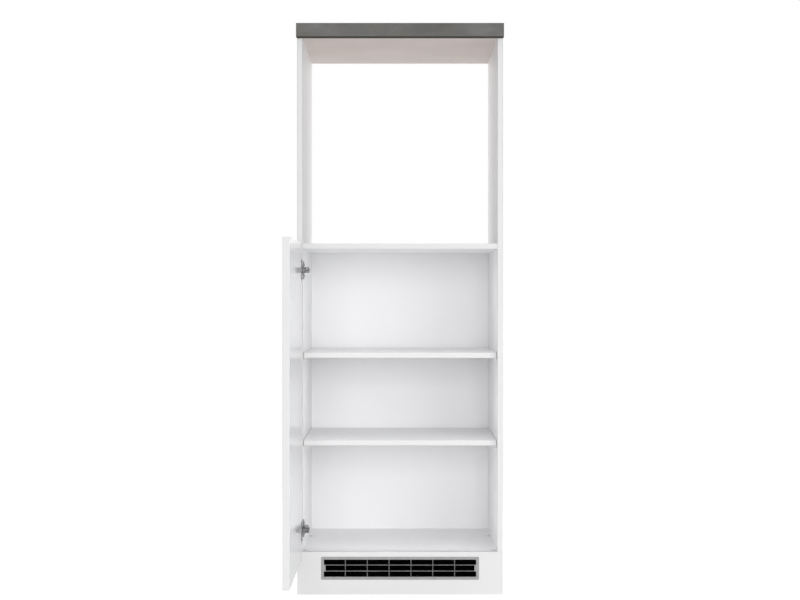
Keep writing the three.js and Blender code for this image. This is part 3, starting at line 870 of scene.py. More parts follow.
@dataclass(frozen=True)
class MouldedPlastic(Finish):
    """Injection-moulded plastic from a spark-eroded mould: satin, with a fine even grain.

    Attributes:
        flow: Colour of the slightly darker flow lines.
        flow_rise: Noise values between which the flow lines come up, and their strength before and after.
        flow_size: Size of the flow lines, mm.
        grain: Size of the mould's grain, mm, about three times as coarse as it is so that it shows.
    """

    flow: str = "#969696"
    flow_rise: tuple[float, ...] = (0.4, 0.75, 0.0, 0.35)
    flow_size: float = 22.0
    grain: float = 0.7

    def pattern(self, tree: Tree, place: Any) -> Drawn:
        """A fine grain, with faint flow of the melt in the colour."""
        grain = add_node(tree, "TexNoise", {"Vector": place, "Scale": per_metre(self.grain), "Detail": 3.0})
        melt = {"Vector": place, "Scale": per_metre(self.flow_size), "Detail": 3.0}
        share = add_node(tree, "MapRange", [add_node(tree, "TexNoise", melt), *self.flow_rise])
        rough = add_node(tree, "MapRange", [grain, *MOST_OF_NOISE, *self.sheen()])
        return share, linear(self.colour), linear(self.flow), rough, grain


@dataclass(frozen=True)
class PlatedSteel(Finish):
    """Pressed steel strip with a bright plating: rolled streaks along it, and dark scuffs where rubbed.

    Attributes:
        scuffed: Colour where the plating is rubbed.
        scuff_rise: Noise values between which the scuffs come up, and their strength before and after.
        scuff_rough: How much rougher they are than the mean.
        scuff: Size of the scuffs, mm.
        streak: Spacing of the rolling streaks, mm.
        streak_length: Length of a streak in spacings.
        streak_rough: How much rougher than the mean the roughest streaks are.
    """

    metallic: float = 1.0
    scuffed: str = "#525253"
    scuff_rise: tuple[float, ...] = (0.52, 0.72, 0.0, 0.7)
    scuff_rough: float = 0.2
    scuff: float = 4.5
    streak: float = 0.5
    streak_length: float = 24.0
    streak_rough: float = 0.06

    def pattern(self, tree: Tree, place: Any) -> Drawn:
        """Streaks along Y, and scuffs that are darker and rougher."""
        sizes = (self.streak, self.streak * self.streak_length, self.streak)
        laid = add_node(tree, "Mapping", {"Vector": place, "Scale": tuple(per_metre(size) for size in sizes)})
        streaks = add_node(tree, "TexNoise", {"Vector": laid, "Scale": 1.0, "Detail": 3.0})
        rubbed = add_node(tree, "TexNoise", {"Vector": place, "Scale": per_metre(self.scuff), "Detail": 5.0})
        scuffs = add_node(tree, "MapRange", [rubbed, *self.scuff_rise])
        least, most = self.sheen()[0], self.roughness + self.streak_rough
        even = add_node(tree, "MapRange", [streaks, *MOST_OF_NOISE, least, most])
        worn = self.roughness + self.scuff_rough
        rough = add_node(tree, "Mix", {SHARE: scuffs, VALUE_A: even, VALUE_B: worn})
        return scuffs, linear(self.colour), linear(self.scuffed), rough, streaks


@dataclass(frozen=True)
class BlackFleece(Finish):
    """Needled polyester fleece behind the louvres, black as painted shade in the bays: matt, with loose
    fibres.

    Attributes:
        lit: Colour of the topmost fibres.
        lit_rise: Noise values between which they come up, and their strength before and after.
        fibre: Size of the tangles, mm.
    """

    shine: float = 0.0
    lit: str = "#0E0E0E"
    lit_rise: tuple[float, ...] = (0.55, 0.85, 0.0, 0.5)
    fibre: float = 0.8

    def pattern(self, tree: Tree, place: Any) -> Drawn:
        """Tangled fibres in the relief and a trace of grey on top of them."""
        fibres = add_node(tree, "TexNoise", {"Vector": place, "Scale": per_metre(self.fibre), "Detail": 6.0})
        share = add_node(tree, "MapRange", [fibres, *self.lit_rise])
        rough = add_node(tree, "MapRange", [fibres, 0.0, 1.0, self.roughness, 1.0])
        return share, linear(self.colour), linear(self.lit), rough, fibres


# Name, slot, colour, roughness and relief of each finish on this unit
MELAMINE = ("white_board", "#F8F8F9", 0.42, 0.004)
WHITE_SIDE = CladBoard("white_melamine_side", *MELAMINE, shine=0.2, lay=Lay.UPRIGHT_SIDE)
WHITE_FLAT = CladBoard("white_melamine_flat", *MELAMINE, shine=0.35, lay=Lay.FLAT)
WHITE_DOOR = CladBoard(
    "glossy_white_melamine_door", "white_board", "#F4F4F6", 0.09, 0.003, shine=0.25, lay=Lay.UPRIGHT_SIDE,
)
WHITE_PLINTH = CladBoard(
    "white_melamine_plinth", "white_board", "#F6F6F6", 0.3, 0.004, lay=Lay.UPRIGHT_FRONT,
)
RAW_CORE = CladBoard("raw_chipboard_core", "chipboard", "#CDB28A", 0.9, 0.03, lay=Lay.NO_CLADDING)
HARDBOARD = FibreBoard("white_faced_hardboard", "back_board", "#F8F8F9", 0.45, 0.02)
WHITE_BAND = EdgeBanding("white_abs_band", "white_band", "#F8F8F8", 0.33, 0.006)
SLATE = StoneLaminate("slate_print_laminate", "stone_laminate", "#868684", 0.55, 0.05, shine=0.15)
BACKING = BackingPaper("beige_backing_paper", "backing_paper", "#F1E6E1", 0.75, 0.02)
GREY_ABS = MouldedPlastic("silver_grey_abs", "grey_plastic", "#AFAFAE", 0.42, 0.02)
WHITE_NYLON = MouldedPlastic("white_nylon", "white_plastic", "#E9E9E8", 0.4, 0.02, flow="#DADAD8")
NICKEL = PlatedSteel("nickel_plated_steel", "nickel_steel", "#8E8E90", 0.32, 0.01, scuffed="#707072")
ZINC = PlatedSteel("zinc_plated_screw_steel", "zinc_screws", "#8E9093", 0.32, 0.01, scuffed="#6A6B6E")
BLACK_ZINC = PlatedSteel("black_passivated_zinc", "zinc_screws", "#1F2021", 0.55, 0.01, scuffed="#161617")
# Deep black fleece in the grille's bays: painted shade behind the louvres.
FLEECE = BlackFleece("black_shade_fleece", "grey_plastic", "#040404", 0.95, 0.25)


def publish(shell: Shell, node: str, finish: Finish) -> bpy.types.Object:
    """Builds a piece that stands for a CAD node, dresses it and lets it ride where the node rides.

    Args:
        shell: The piece's gathered patches.
        node: The CAD node.
        finish: What the piece is made of.

    Returns:
        The finished piece.
    """
    piece = shell.built(f"{node}_detail")
    finish.dress(piece)
    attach(piece, frame["nodes"][node]["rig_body"])
    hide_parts(node)
    log.info("%s: %d faces, %s", piece.name, len(piece.data.polygons), finish.title)
    return piece


def box_of(node: str) -> tuple[Array, Array]:
    """A CAD node's lowest and highest corner in mm."""
    low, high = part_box(node)
    return np.array(low) / MILLIMETRE, np.array(high) / MILLIMETRE


# Distance of a side panel's inner face from the middle of the unit, and heights of the two hinges' middles
ROOM_HALF = 283.0
HINGE_HEIGHTS = {"upper": 943.0, "lower": 188.0}


def ordered(first: float, second: float) -> Pair:
    """Two values, the lower one first."""
    return min(first, second), max(first, second)


@dataclass
class Carcass:
    """Side panels, bottom, fixed shelf, back, plinth board, and their edge bands.

    Attributes:
        band_round: Radius that the rounding cutter leaves on a band.
        band_end: Radius at a band's ends.
    """

    band_round: float = 0.85
    band_end: float = 0.25

    def build(self) -> None:
        """Makes the rounded bands."""
        for node in ("left_side_edge_band", "right_side_edge_band", "oven_shelf_edge_band"):
            self.band(node)

    def band(self, node: str) -> None:
        """A band as a slab that faces forward, with its front rim rounded all round.

        Args:
            node: The CAD node that it stands for.
        """
        low, high = box_of(node)
        half = (high - low) / 2
        middle = (high + low) / 2
        outline = rounded_loop(half[0], half[2], self.band_end, count=3) + middle[[0, 2]]
        shell = Shell()
        shell.plate(outline, (-high[1], -low[1]), Facing.FRONT, (0.0, self.band_round))
        publish(shell, node, WHITE_BAND)

    def dress(self) -> None:
        """Gives the boards their finishes."""
        WHITE_SIDE.dress_nodes(("left_side_panel", "right_side_panel"))
        WHITE_FLAT.dress_nodes(("bottom_panel", "oven_shelf"))
        WHITE_PLINTH.dress_nodes(("plinth_board",))
        HARDBOARD.dress_nodes(("back_panel",))


@dataclass
class LooseShelves(Carcass):
    """The two loose shelves with their bands and the four pegs under each.

    Attributes:
        shank: Radius of a peg's shank.
        collar: Radius of the stop collar against the side panel.
        collar_width: Width of that collar.
        collar_gap: Room between the collar and the side panel.
        tongue: Thickness of the flat tongue that the shelf lies on.
        tongue_start: Distance of the tongue from the side panel.
        tongue_round: Corner radius of the tongue.
        ease: Radius of the peg's small edges.
    """

    shank: float = 2.35
    collar: float = 3.4
    collar_width: float = 0.8
    collar_gap: float = 0.05
    tongue: float = 2.0
    tongue_start: float = 0.3
    tongue_round: float = 2.2
    ease: float = 0.35

    def build(self) -> None:
        """Makes the bands and the pegs."""
        for shelf in ("lower_shelf", "upper_shelf"):
            self.band(f"{shelf}_edge_band")
            for hand in ("left", "right"):
                for row in ("front", "rear"):
                    self.peg(f"{shelf}_peg_{hand}_{row}", -1 if hand == "left" else 1)

    def peg(self, node: str, side: int) -> None:
        """A turned shank with a collar, and a flat tongue with round corners.

        Args:
            node: The CAD node that it stands for.
            side: -1 on the left, 1 on the right.
        """
        low, high = box_of(node)
        buried = high[0] - ROOM_HALF if side > 0 else -ROOM_HALF - low[0]
        reach = (high[0] - low[0]) - buried
        shell = Shell((side * ROOM_HALF, (low[1] + high[1]) / 2, high[2]))

        def handed(points: Array) -> Array:
            """The peg is drawn on the left side panel and mirrored for the right one."""
            return points * np.array([-side, 1, 1])

        def flat_topped(points: Array) -> Array:
            """What would stand above the shelf's underside is pressed flat there."""
            return handed(np.minimum(points, [np.inf, np.inf, 0.0]))

        ease, gap = self.ease, self.collar_gap
        profile = [
            (0, -buried), (self.shank - ease, -buried), (self.shank, ease - buried), (self.shank, gap),
            (self.collar - ease, gap), (self.collar, gap + ease), (self.collar, self.collar_width),
            (self.shank, self.collar_width + ease), (self.shank, reach - ease), (self.shank - ease, reach),
            (0, reach),
        ]
        shell.turned(profile, (0, -self.shank), Facing.ACROSS, sides=24, warp=flat_topped)
        half = (high[1] - low[1]) / 2
        outline = rounded_loop((reach - self.tongue_start) / 2, half, self.tongue_round)
        outline = outline + [(reach + self.tongue_start) / 2, 0]
        shell.plate(outline, (-self.tongue, 0), Facing.UP, (ease, ease), warp=handed)
        publish(shell, node, WHITE_NYLON)

    def dress(self) -> None:
        """Gives the shelf boards their finish."""
        WHITE_FLAT.dress_nodes(("lower_shelf", "upper_shelf"))


@dataclass
class Connectors:
    """Round housings sunk in the bottom board, each with a cross-slotted clamping screw.

    Attributes:
        radius: Radius of a housing.
        offset: How far the screw's bore lies from the housing's middle, towards the side panel.
        lip: Width of the raised lip round the bore.
        lip_slope: Width of the slope from the lip down to the face's dip.
        dip: Radii between which the housing's face slopes down to its dip.
        dip_depth: Depth of the dip.
        bore: Radius of the bore.
        ease: Radius of the housing's edges.
        depth: Depth of the bore below the board's face.
        screw: Radius of the screw.
        tip: Bevel at the screw's foot.
        head: Height of the screw's head.
        dome: How far it falls towards its rim, as a share of its height.
    """

    radius: float = 10.0
    offset: float = 3.0
    lip: float = 1.1
    lip_slope: float = 0.3
    dip: Pair = (7.2, 6.4)
    dip_depth: float = 0.25
    bore: float = 4.2
    ease: float = 0.5
    depth: float = 5.9
    screw: float = 3.9
    tip: float = 0.3
    head: float = 1.9
    dome: float = 0.04

    def build(self) -> None:
        """Makes the four housings and the four screws."""
        for hand in ("left", "right"):
            for row in ("front", "rear"):
                self.housing(hand, row)
                self.clamp(hand, row)

    def housing(self, hand: str, row: str) -> None:
        """A turned plug, its wall cut flat at the side panel, with a lip round an eccentric bore.

        Args:
            hand: left or right.
            row: front or rear.
        """
        node = f"connector_housing_{hand}_{row}"
        low, high = box_of(node)
        side = -1 if hand == "left" else 1
        middle = (low[1] + high[1]) / 2
        centre = high[0] - self.radius if side < 0 else low[0] + self.radius
        limit = side * (high[0] if side > 0 else low[0])
        foot = low[2] - high[2]
        lip = self.bore + self.lip
        flat = self.radius - self.ease

        def shaped(points: Array) -> Array:
            """The rings slide from the plug's axis to the bore's as they shrink, and stop at the flat."""
            from_axis = np.hypot(points[:, 0] - centre, points[:, 1] - middle)
            share = 1 - smooth_step(lip, flat, from_axis)
            moved = points.copy()
            moved[:, 0] += side * self.offset * share * (points[:, 2] > self.ease + foot)
            moved[:, 0] = side * np.minimum(side * moved[:, 0], limit)
            return moved

        profile = [
            (0, foot), (flat, foot), (self.radius, self.ease + foot), (self.radius, -self.ease), (flat, 0),
            (self.dip[0], 0), (self.dip[1], -self.dip_depth), (lip + self.lip_slope, -self.dip_depth),
            (lip, 0), (self.bore, 0), (self.bore, -self.depth), (0, -self.depth),
        ]
        shell = Shell((0, 0, high[2]))
        shell.turned(profile, (centre, middle), Facing.UP, sides=48, warp=shaped)
        publish(shell, node, WHITE_NYLON)

    def clamp(self, hand: str, row: str) -> None:
        """The screw: a turned body with a crossed head.

        Args:
            hand: left or right.
            row: front or rear.
        """
        node = f"connector_screw_{hand}_{row}"
        low, high = box_of(node)
        centre = ((low + high) / 2)[:2]
        foot, neck = low[2], high[2] - self.head
        profile = [
            (0, foot), (self.screw - self.tip, foot), (self.screw, foot + self.tip), (self.screw, neck),
            (0, neck),
        ]
        shell = Shell()
        shell.turned(profile, centre, Facing.UP)
        shell.screw_head(centre, neck, self.screw, self.head, Facing.UP, self.dome)
        publish(shell, node, BLACK_ZINC)


@dataclass
class Worktop:
    """Chipboard worktop: laminate folded over the front edge and back under it, backing paper, end strips.

    Attributes:
        laminate: Thickness of the laminate.
        corner: Outer radius of the fold.
        stop: How far under the front edge the laminate ends.
    """

    laminate: float = 0.75
    corner: float = 1.25
    stop: float = 38.0

    def build(self) -> None:
        """The laminate's section, a C with round outer corners, carried along the worktop's length."""
        low, high = box_of("worktop_laminate")
        front, back, under, top = low[1], high[1], low[2], high[2]
        sheet, bend = self.laminate, self.corner
        section = np.vstack([
            [[back, top - sheet], [back, top]],
            arc((front + bend, top - bend), bend, 90, 180, 9),
            arc((front + bend, under + bend), bend, 180, 270, 9),
            [[front + self.stop, under], [front + self.stop, under + sheet]],
            arc((front + bend, under + bend), bend - sheet, 270, 180, 5),
            arc((front + bend, top - bend), bend - sheet, 180, 90, 5),
        ])
        shell = Shell()
        shell.plate(section, (low[0], high[0]), Facing.ACROSS)
        publish(shell, "worktop_laminate", SLATE)

    def dress(self) -> None:
        """Gives core, backing paper and end strips their finishes."""
        RAW_CORE.dress_nodes(("worktop_core",))
        BACKING.dress_nodes(("worktop_backing_sheet",))
        SLATE.dress_nodes(("worktop_left_strip", "worktop_right_strip"))


@dataclass
class VentGrille:
    """The moulding in the plinth: border, collar, hooks, three rows of louvres in seven bays, and the fleece.

    Attributes:
        border: Width of the border's face.
        border_fall: How far the border's face falls towards the mouth.
        corner: Radius of its outer corners.
        least_corner: Radius of the corners of the mouth.
        proud: How far it stands out of the board.
        edge_round: Radius of its outer edge.
        mouth_round: Radius of the edge round the mouth.
        collar_wall: Thickness of the collar.
        louvre: Width of a louvre's bar.
        bar_depth: Depth of the bars.
        bar_sunk: How far the rows' bars lie behind the border's face.
        column_sunk: How much deeper the columns' bars lie than the rows'.
        bar_nose: Width of a bar's round nose.
        nose_depth: Greatest depth of a nose, and width of a tab's edge rounding.
        bar_taper: How deep a bar takes to reach its full width.
        rows: Rows of slots.
        columns: Columns of slots.
        tab: Length of the end tabs in the middle row.
        tab_sunk: How much deeper a tab lies than the rows' bars.
        tab_gap: How much of the neighbouring bars' width a tab leaves free.
        tab_taper: How deep a tab takes to reach its full width.
        hook_share: Place of the hooks along the mouth, as a share of half its width.
        hook: Half a hook's width, how far it stands out of the collar, and its thickness.
        hook_round: Radius of its edges.
        fleece_gap: Room between the bars and the fleece.
        fleece: Thickness of the fleece.
        fleece_swell: How far the fleece swells in the middle of a bay.
    """

    border: float = 8.3
    border_fall: float = 0.3
    corner: float = 3.5
    least_corner: float = 0.4
    proud: float = 1.6
    edge_round: float = 1.2
    mouth_round: float = 0.9
    collar_wall: float = 1.6
    louvre: float = 2.1
    bar_depth: float = 9.0
    bar_sunk: float = 0.8
    column_sunk: float = 0.15
    bar_nose: float = 0.5
    nose_depth: float = 0.5
    bar_taper: float = 4.5
    rows: int = 3
    columns: int = 7
    tab: float = 4.8
    tab_sunk: float = 0.08
    tab_gap: float = 0.2
    tab_taper: float = 1.2
    hook_share: float = 0.6
    hook: Triple = (6.0, 1.1, 1.8)
    hook_round: float = 0.3
    fleece_gap: float = 0.6
    fleece: float = 1.6
    fleece_swell: float = 0.35

    def build(self) -> None:
        """Makes the grille and the fleece."""
        low, high = box_of("vent_grille")
        half_u = (high[0] - low[0]) / 2
        half_v = (high[2] - low[2]) / 2
        board_face = low[1] + self.proud
        depth = high[1] - board_face
        place = (0, board_face, (low[2] + high[2]) / 2)
        shell = Shell(place)
        self.frame(shell, half_u, half_v, depth)
        self.bars(shell, half_u - self.border, half_v - self.border)
        self.hooks(shell, half_u - self.border, half_v - self.border, depth)
        publish(shell, "vent_grille", GREY_ABS)
        self.shade_fleece(place, half_u - self.border, half_v - self.border)

    def frame(self, shell: Shell, half_u: float, half_v: float, depth: float) -> None:
        """Border and collar in one section, carried round the rounded rectangle.

        Args:
            shell: The grille's shell.
            half_u: Half the grille's width.
            half_v: Half its height.
            depth: How far the collar reaches behind the board's face.
        """
        crest = self.proud - self.edge_round
        mouth = (self.border - self.mouth_round, self.proud - self.border_fall - self.mouth_round)
        collar = self.border - self.collar_wall
        section = np.vstack([
            [[0, 0]],
            arc((self.edge_round, crest), self.edge_round, 180, 90, 8),
            arc(mouth, self.mouth_round, 90, 0, 6),
            [[self.border, -depth], [collar, -depth], [collar, 0]],
        ])

        def loop_at(gap: float) -> Array:
            """The grille's outline, moved inwards by the gap."""
            radius = max(self.corner - gap, self.least_corner)
            return rounded_loop(half_u - gap, half_v - gap, radius, count=7)

        shell.carried(section, loop_at, Facing.FRONT)

    def bars(self, shell: Shell, open_u: float, open_v: float) -> None:
        """Bars at equal pitches, and the two tabs that close the ends of the middle row.

        Args:
            shell: The grille's shell.
            open_u: Half the mouth's width.
            open_v: Half its height.
        """
        near = self.bar_sunk - self.proud
        sunk = self.collar_wall / 2
        full_u, full_v = open_u + sunk, open_v + sunk
        row_pitch = (2 * open_v + self.louvre) / self.rows
        column_pitch = (2 * open_u + self.louvre) / self.columns
        for row in range(1, self.rows):
            middle = row * row_pitch - open_v - self.louvre / 2
            self.bar(shell, (0, 2), (-full_u, full_u), middle, self.louvre, near)
        for column in range(1, self.columns):
            middle = column * column_pitch - open_u - self.louvre / 2
            self.bar(shell, (2, 0), (-full_v, full_v), middle, self.louvre, near + self.column_sunk)
        middle = row_pitch * self.rows / 2 - open_v - self.louvre / 2
        width = row_pitch + self.louvre - self.tab_gap
        for ends in ((-full_u, self.tab - open_u), (open_u - self.tab, full_u)):
            self.bar(shell, (0, 2), ends, middle, width, near + self.tab_sunk, self.tab_taper)

    def bar(
        self,
        shell: Shell,
        axes: tuple[int, int],
        ends: Pair,
        middle: float,
        width: float,
        near: float,
        taper: float | None = None,
    ) -> None:
        """A straight bar whose section is a wedge with a round nose, carried from one end to the other.

        Its half width is half the nose's at the front, and grows evenly with depth to half the full width.

        Args:
            shell: The grille's shell.
            axes: The axis that the bar runs along and the axis across it.
            ends: Where it starts and ends.
            middle: Its middle line across.
            width: Its full width.
            near: Depth of its nose.
            taper: How deep a tab takes to reach the full width. Without it the bar is a louvre.
        """
        reach = self.bar_taper if taper is None else taper
        nose = self.bar_nose / 2 if taper is None else width / 2 - self.nose_depth
        depth = min(nose, self.nose_depth)
        rounding = arc((0, 0), 1, 180, 0, 7) * [nose, -depth] + [0, depth]
        rear = [[-width / 2, self.bar_depth], [-width / 2, reach]]
        section = np.vstack([rear, rounding, [[width / 2, reach], [width / 2, self.bar_depth]]])
        shaft = np.empty((2, len(section), 3))
        shaft[..., axes[0]] = np.array(ends)[:, None]
        shaft[..., axes[1]] = middle + section[:, 0]
        shaft[..., 1] = near + section[:, 1]
        shell.grid(shaft, Facing.UP, (False, True))
        caps = caps_of([section])
        for end in shaft:
            first = shell.store(end, Facing.UP)
            shell.faces.extend(tuple(first + corner for corner in cap) for cap in caps)

    def hooks(self, shell: Shell, open_u: float, open_v: float, depth: float) -> None:
        """Four hooks that snap behind the board.

        Args:
            shell: The grille's shell.
            open_u: Half the mouth's width.
            open_v: Half its height.
            depth: Where the collar ends behind the board's face.
        """
        half, reach, thickness = self.hook
        inner = open_v + self.collar_wall / 2
        outer = open_v + self.collar_wall + reach
        for share in (-self.hook_share, self.hook_share):
            for side in (-1, 1):
                foot, tip = ordered(side * inner, side * outer)
                low = (share * open_u - half, depth - thickness, foot)
                high = (share * open_u + half, depth, tip)
                shell.rounded_box(low, high, self.hook_round)

    def shade_fleece(self, place: Triple, open_u: float, open_v: float) -> None:
        """A thin pad in the collar, its face a shallow quilt: a swell by sin² in each bay and by √cos up it.

        Args:
            place: Middle of the mouth at the board's face.
            open_u: Half the mouth's width.
            open_v: Half its height.
        """
        # The pad is deep black: painted shade in the bays behind the louvres.
        near = self.bar_depth - self.proud + self.bar_sunk + self.fleece_gap
        shell = Shell(place)
        across, up = np.meshgrid(np.linspace(-1, 1, 141), np.linspace(-1, 1, 25), indexing="ij")
        bays = np.sin(across * math.pi * self.columns / 2 + math.pi / 2) ** 2
        swell = self.fleece_swell * bays * np.cos(up * math.pi / 2) ** 0.5
        face = np.stack([across * open_u, up * open_v, swell - near], axis=-1)
        rear = np.stack([across * open_u, up * open_v, np.full_like(up, -near - self.fleece)], axis=-1)
        for sheet in (face, rear):
            shell.grid(sheet, Facing.FRONT, (False, False))
        shell.grid(np.array([rim_of(face), rim_of(rear)]), Facing.FRONT, (False, True))
        piece = shell.built("vent_shade_fleece")
        FLEECE.dress(piece)
        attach(piece, "housing")
        log.info("%s: %s", piece.name, FLEECE.title)


@dataclass
class Door:
    """The door board and the band round its four edges.

    Attributes:
        band: Thickness of the band.
        edge_round: Radius of its two long edges.
        corner: Radius where two lengths of band meet.
        least_corner: Radius that is left of it at the board.
    """

    band: float = 1.0
    edge_round: float = 0.85
    corner: float = 0.5
    least_corner: float = 0.02

    def build(self) -> None:
        """The band's section, one millimetre thick with round outer edges, carried round the door."""
        low, high = box_of("door_edge_band")
        half = (high - low) / 2
        shell = Shell(tuple((low + high) / 2))
        edge = self.edge_round
        section = np.vstack([
            [[self.band, -half[0]]],
            arc((edge, edge - half[0]), edge, 270, 180, 6),
            arc((edge, half[0] - edge), edge, 180, 90, 6),
            [[self.band, half[0]]],
        ])

        def loop_at(gap: float) -> Array:
            """The door's outline, moved inwards by the gap."""
            radius = max(self.corner - gap, self.least_corner)
            return rounded_loop(half[1] - gap, half[2] - gap, radius, count=4)

        shell.carried(section, loop_at, Facing.ACROSS)
        publish(shell, "door_edge_band", WHITE_BAND)

    def dress(self) -> None:
        """Gives the door board its finish."""
        WHITE_DOOR.dress_nodes(("door_panel",))


@dataclass
class HingePart:
    """What the parts of a concealed hinge share.

    A hinge is drawn with x from the side panel's inner face into the room, y back from the carcass front,
    and z up from its middle.

    Attributes:
        name: upper or lower.
        height: Height of the hinge's middle.
        front: Where the carcass front lies in the frame.
        door_gap: How far outside the side panel's inner face the open door's inner face lies.
        cup_middle: Place of the cup's axis along y.
        flange: Thickness of the cup's flange, which lies on the door.
        pin: Radius of the pivots.
        outer_pivot, inner_pivot: Where the links turn on the arm.
        outer_tip, inner_tip: Where they end in the cup.
        link_inside: Half the room between the outer link's cheeks.
        link_cheek: Thickness of a cheek.
        arm_top: Height of the arm's outer face up to the throat.
        arm_throat: Where that face begins to fall.
        arm_tail: Where the arm ends.
        arm_tail_top: Height of its face there.
        plate_middle: Place of the mounting plate's screws along y.
        plate_thick: Thickness of the plate's wings.
        screw_places: Places of the arm's two screws along y.
    """

    name: str
    height: float
    front: float = -8.0
    door_gap: float = 1.0
    cup_middle: float = -26.5
    flange: float = 1.25
    pin: float = 1.25
    outer_pivot: Pair = (16.5, -3.0)
    inner_pivot: Pair = (9.5, -7.5)
    outer_tip: Pair = (-3.9, -15.2)
    inner_tip: Pair = (-6.5, -14.2)
    link_inside: float = 4.6
    link_cheek: float = 1.4
    arm_top: float = 19.2
    arm_throat: float = 16.0
    arm_tail: float = 62.0
    arm_tail_top: float = 12.5
    plate_middle: float = 37.0
    plate_thick: float = 2.5
    screw_places: Pair = (30.72, 51.88)

    def shell(self) -> Shell:
        """An empty shell whose zero is the hinge's middle at the side panel."""
        return Shell((-ROOM_HALF, self.front, self.height))

    def face_at(self, along: Array | float) -> Array | float:
        """Height of the arm's outer face along y: level to the throat, then falling to the tail."""
        fall = (self.arm_top - self.arm_tail_top) / (self.arm_tail - self.arm_throat)
        return self.arm_top - fall * np.maximum(np.asarray(along) - self.arm_throat, 0)


@dataclass
class HingeCup(HingePart):
    """A drawn bowl, the winged flange round it with a pressed bead, and the two ears that bear the links.

    Attributes:
        radius: Radius of the bowl.
        wall: Thickness of its wall.
        depth: Its depth below the door's face.
        corner: Outer radius of its corner.
        corner_within: Inner radius of its corner.
        lip: Radius of the rolled lip.
        lip_rise: How far the lip's middle stands over the flange.
        disc: Radius of the flange without its wings.
        wing_half: How far the wings reach up and down.
        wing_back: How far the flange reaches away from the carcass.
        wing_ahead: How far the wings reach towards it.
        wing_power: How square the wings' corners are.
        bead: Height of the bead.
        bead_place: Its distance from the bowl's wall.
        bead_width: Its width.
        fall: How far the flange's rim falls.
        fall_start: Where the rim begins to fall, as a share of the way to the edge.
        ear_gap: Room between a link's cheek and an ear.
        ear_foot: Height of the ears' feet over the bowl's underside.
        ear_sunk: How far below the door's face the ears end.
        ear_back: How far the ears reach past the outer link's end.
        ear_round: Radius of their edges.
    """

    radius: float = 17.5
    wall: float = 1.0
    depth: float = 12.0
    corner: float = 2.2
    corner_within: float = 1.6
    lip: float = 0.5
    lip_rise: float = 0.15
    disc: float = 19.5
    wing_half: float = 30.0
    wing_back: float = 15.0
    wing_ahead: float = 3.0
    wing_power: float = 9.0
    bead: float = 0.4
    bead_place: float = 1.0
    bead_width: float = 0.7
    fall: float = 0.35
    fall_start: float = 0.93
    ear_gap: float = 0.9
    ear_foot: float = 0.3
    ear_sunk: float = 1.5
    ear_back: float = 4.0
    ear_round: float = 0.5

    def build(self) -> None:
        """Makes the cup."""
        shell = self.shell()
        self.bowl(shell)
        self.winged_flange(shell)
        self.ears(shell)
        publish(shell, f"{self.name}_hinge_cup", NICKEL)

    def lowered(self, points: Array) -> Array:
        """Points drawn from the door's inner face, moved to where that face lies."""
        return points - [self.door_gap, 0, 0]

    def mid_wall(self) -> float:
        """Radius of the middle of the bowl's wall."""
        return self.radius - self.wall / 2

    def bowl(self, shell: Shell) -> None:
        """A thin bowl with a rolled lip, turned round the cup's axis.

        Args:
            shell: The cup's shell.
        """
        within = (self.radius - self.wall - self.corner_within, self.corner_within + self.wall - self.depth)
        profile = np.vstack([
            [[0, -self.depth]],
            arc((self.radius - self.corner, self.corner - self.depth), self.corner, -90, 0, 6),
            arc((self.radius - self.lip, self.flange + self.lip_rise), self.lip, 0, 180, 6),
            arc(within, self.corner_within, 0, -90, 6),
            [[0, self.wall - self.depth]],
        ])
        shell.turned(profile, (self.cup_middle, 0), Facing.ACROSS, 72, self.lowered)

    def winged_flange(self, shell: Shell) -> None:
        """A ring with its edge at the radius max(disc, (|y/a|^p + |z/b|^p)^(-1/p)), cut off at the door.

        Args:
            shell: The cup's shell.
        """
        turn = np.linspace(0, 2 * math.pi, 288, endpoint=False)
        ahead = np.where(np.cos(turn) > 0, self.wing_ahead, self.wing_back)
        power = self.wing_power
        squarish = np.abs(np.cos(turn) / ahead) ** power + np.abs(np.sin(turn) / self.wing_half) ** power
        edge = np.maximum(self.disc, squarish ** (-1 / power))
        edge = np.minimum(edge, self.radius / np.maximum(np.cos(turn), TINY))
        top, rows = self.flange, 14
        share = np.concatenate([[0, 0], np.linspace(0, 1, rows), [1, 1]])
        height = np.concatenate([[0, top / 2], np.full(rows, top), [top / 2, 0]])
        on_face = height[:, None] >= top
        start = self.mid_wall()
        from_axis = start + np.outer(share, edge - start)
        from_bead = (from_axis - start - self.bead_place) / self.bead_width
        bead = self.bead * np.exp(-(from_bead**2)) * on_face
        rim = self.fall * smooth_step(self.fall_start, 1.0, share)[:, None] * on_face
        points = np.empty((len(share), len(turn), 3))
        points[..., 0] = self.cup_middle + from_axis * np.cos(turn)
        points[..., 1] = from_axis * np.sin(turn)
        points[..., 2] = height[:, None] + bead - rim
        shell.grid(points, Facing.ACROSS, (True, True), self.lowered)

    def ears(self, shell: Shell) -> None:
        """Two blocks beside the links, whose far sides follow the bowl's wall.

        Args:
            shell: The cup's shell.
        """
        near = self.link_inside + self.link_cheek + self.ear_gap
        start = self.mid_wall()

        def in_bowl(points: Array) -> Array:
            """Points outside the bowl's wall move along y to its middle line."""
            kept = points.copy()
            kept[:, 2] = np.clip(kept[:, 2], -start, start)
            chord = np.sqrt(start**2 - kept[:, 2] ** 2)
            kept[:, 1] = np.minimum(kept[:, 1], self.cup_middle + chord)
            return self.lowered(kept)

        for side in (-1, 1):
            foot, top = ordered(side * near, side * self.radius)
            low = (self.ear_foot - self.depth, self.outer_tip[1] - self.ear_back, foot)
            high = (-self.ear_sunk, self.cup_middle + self.radius, top)
            shell.rounded_box(low, high, self.ear_round, in_bowl, 6)


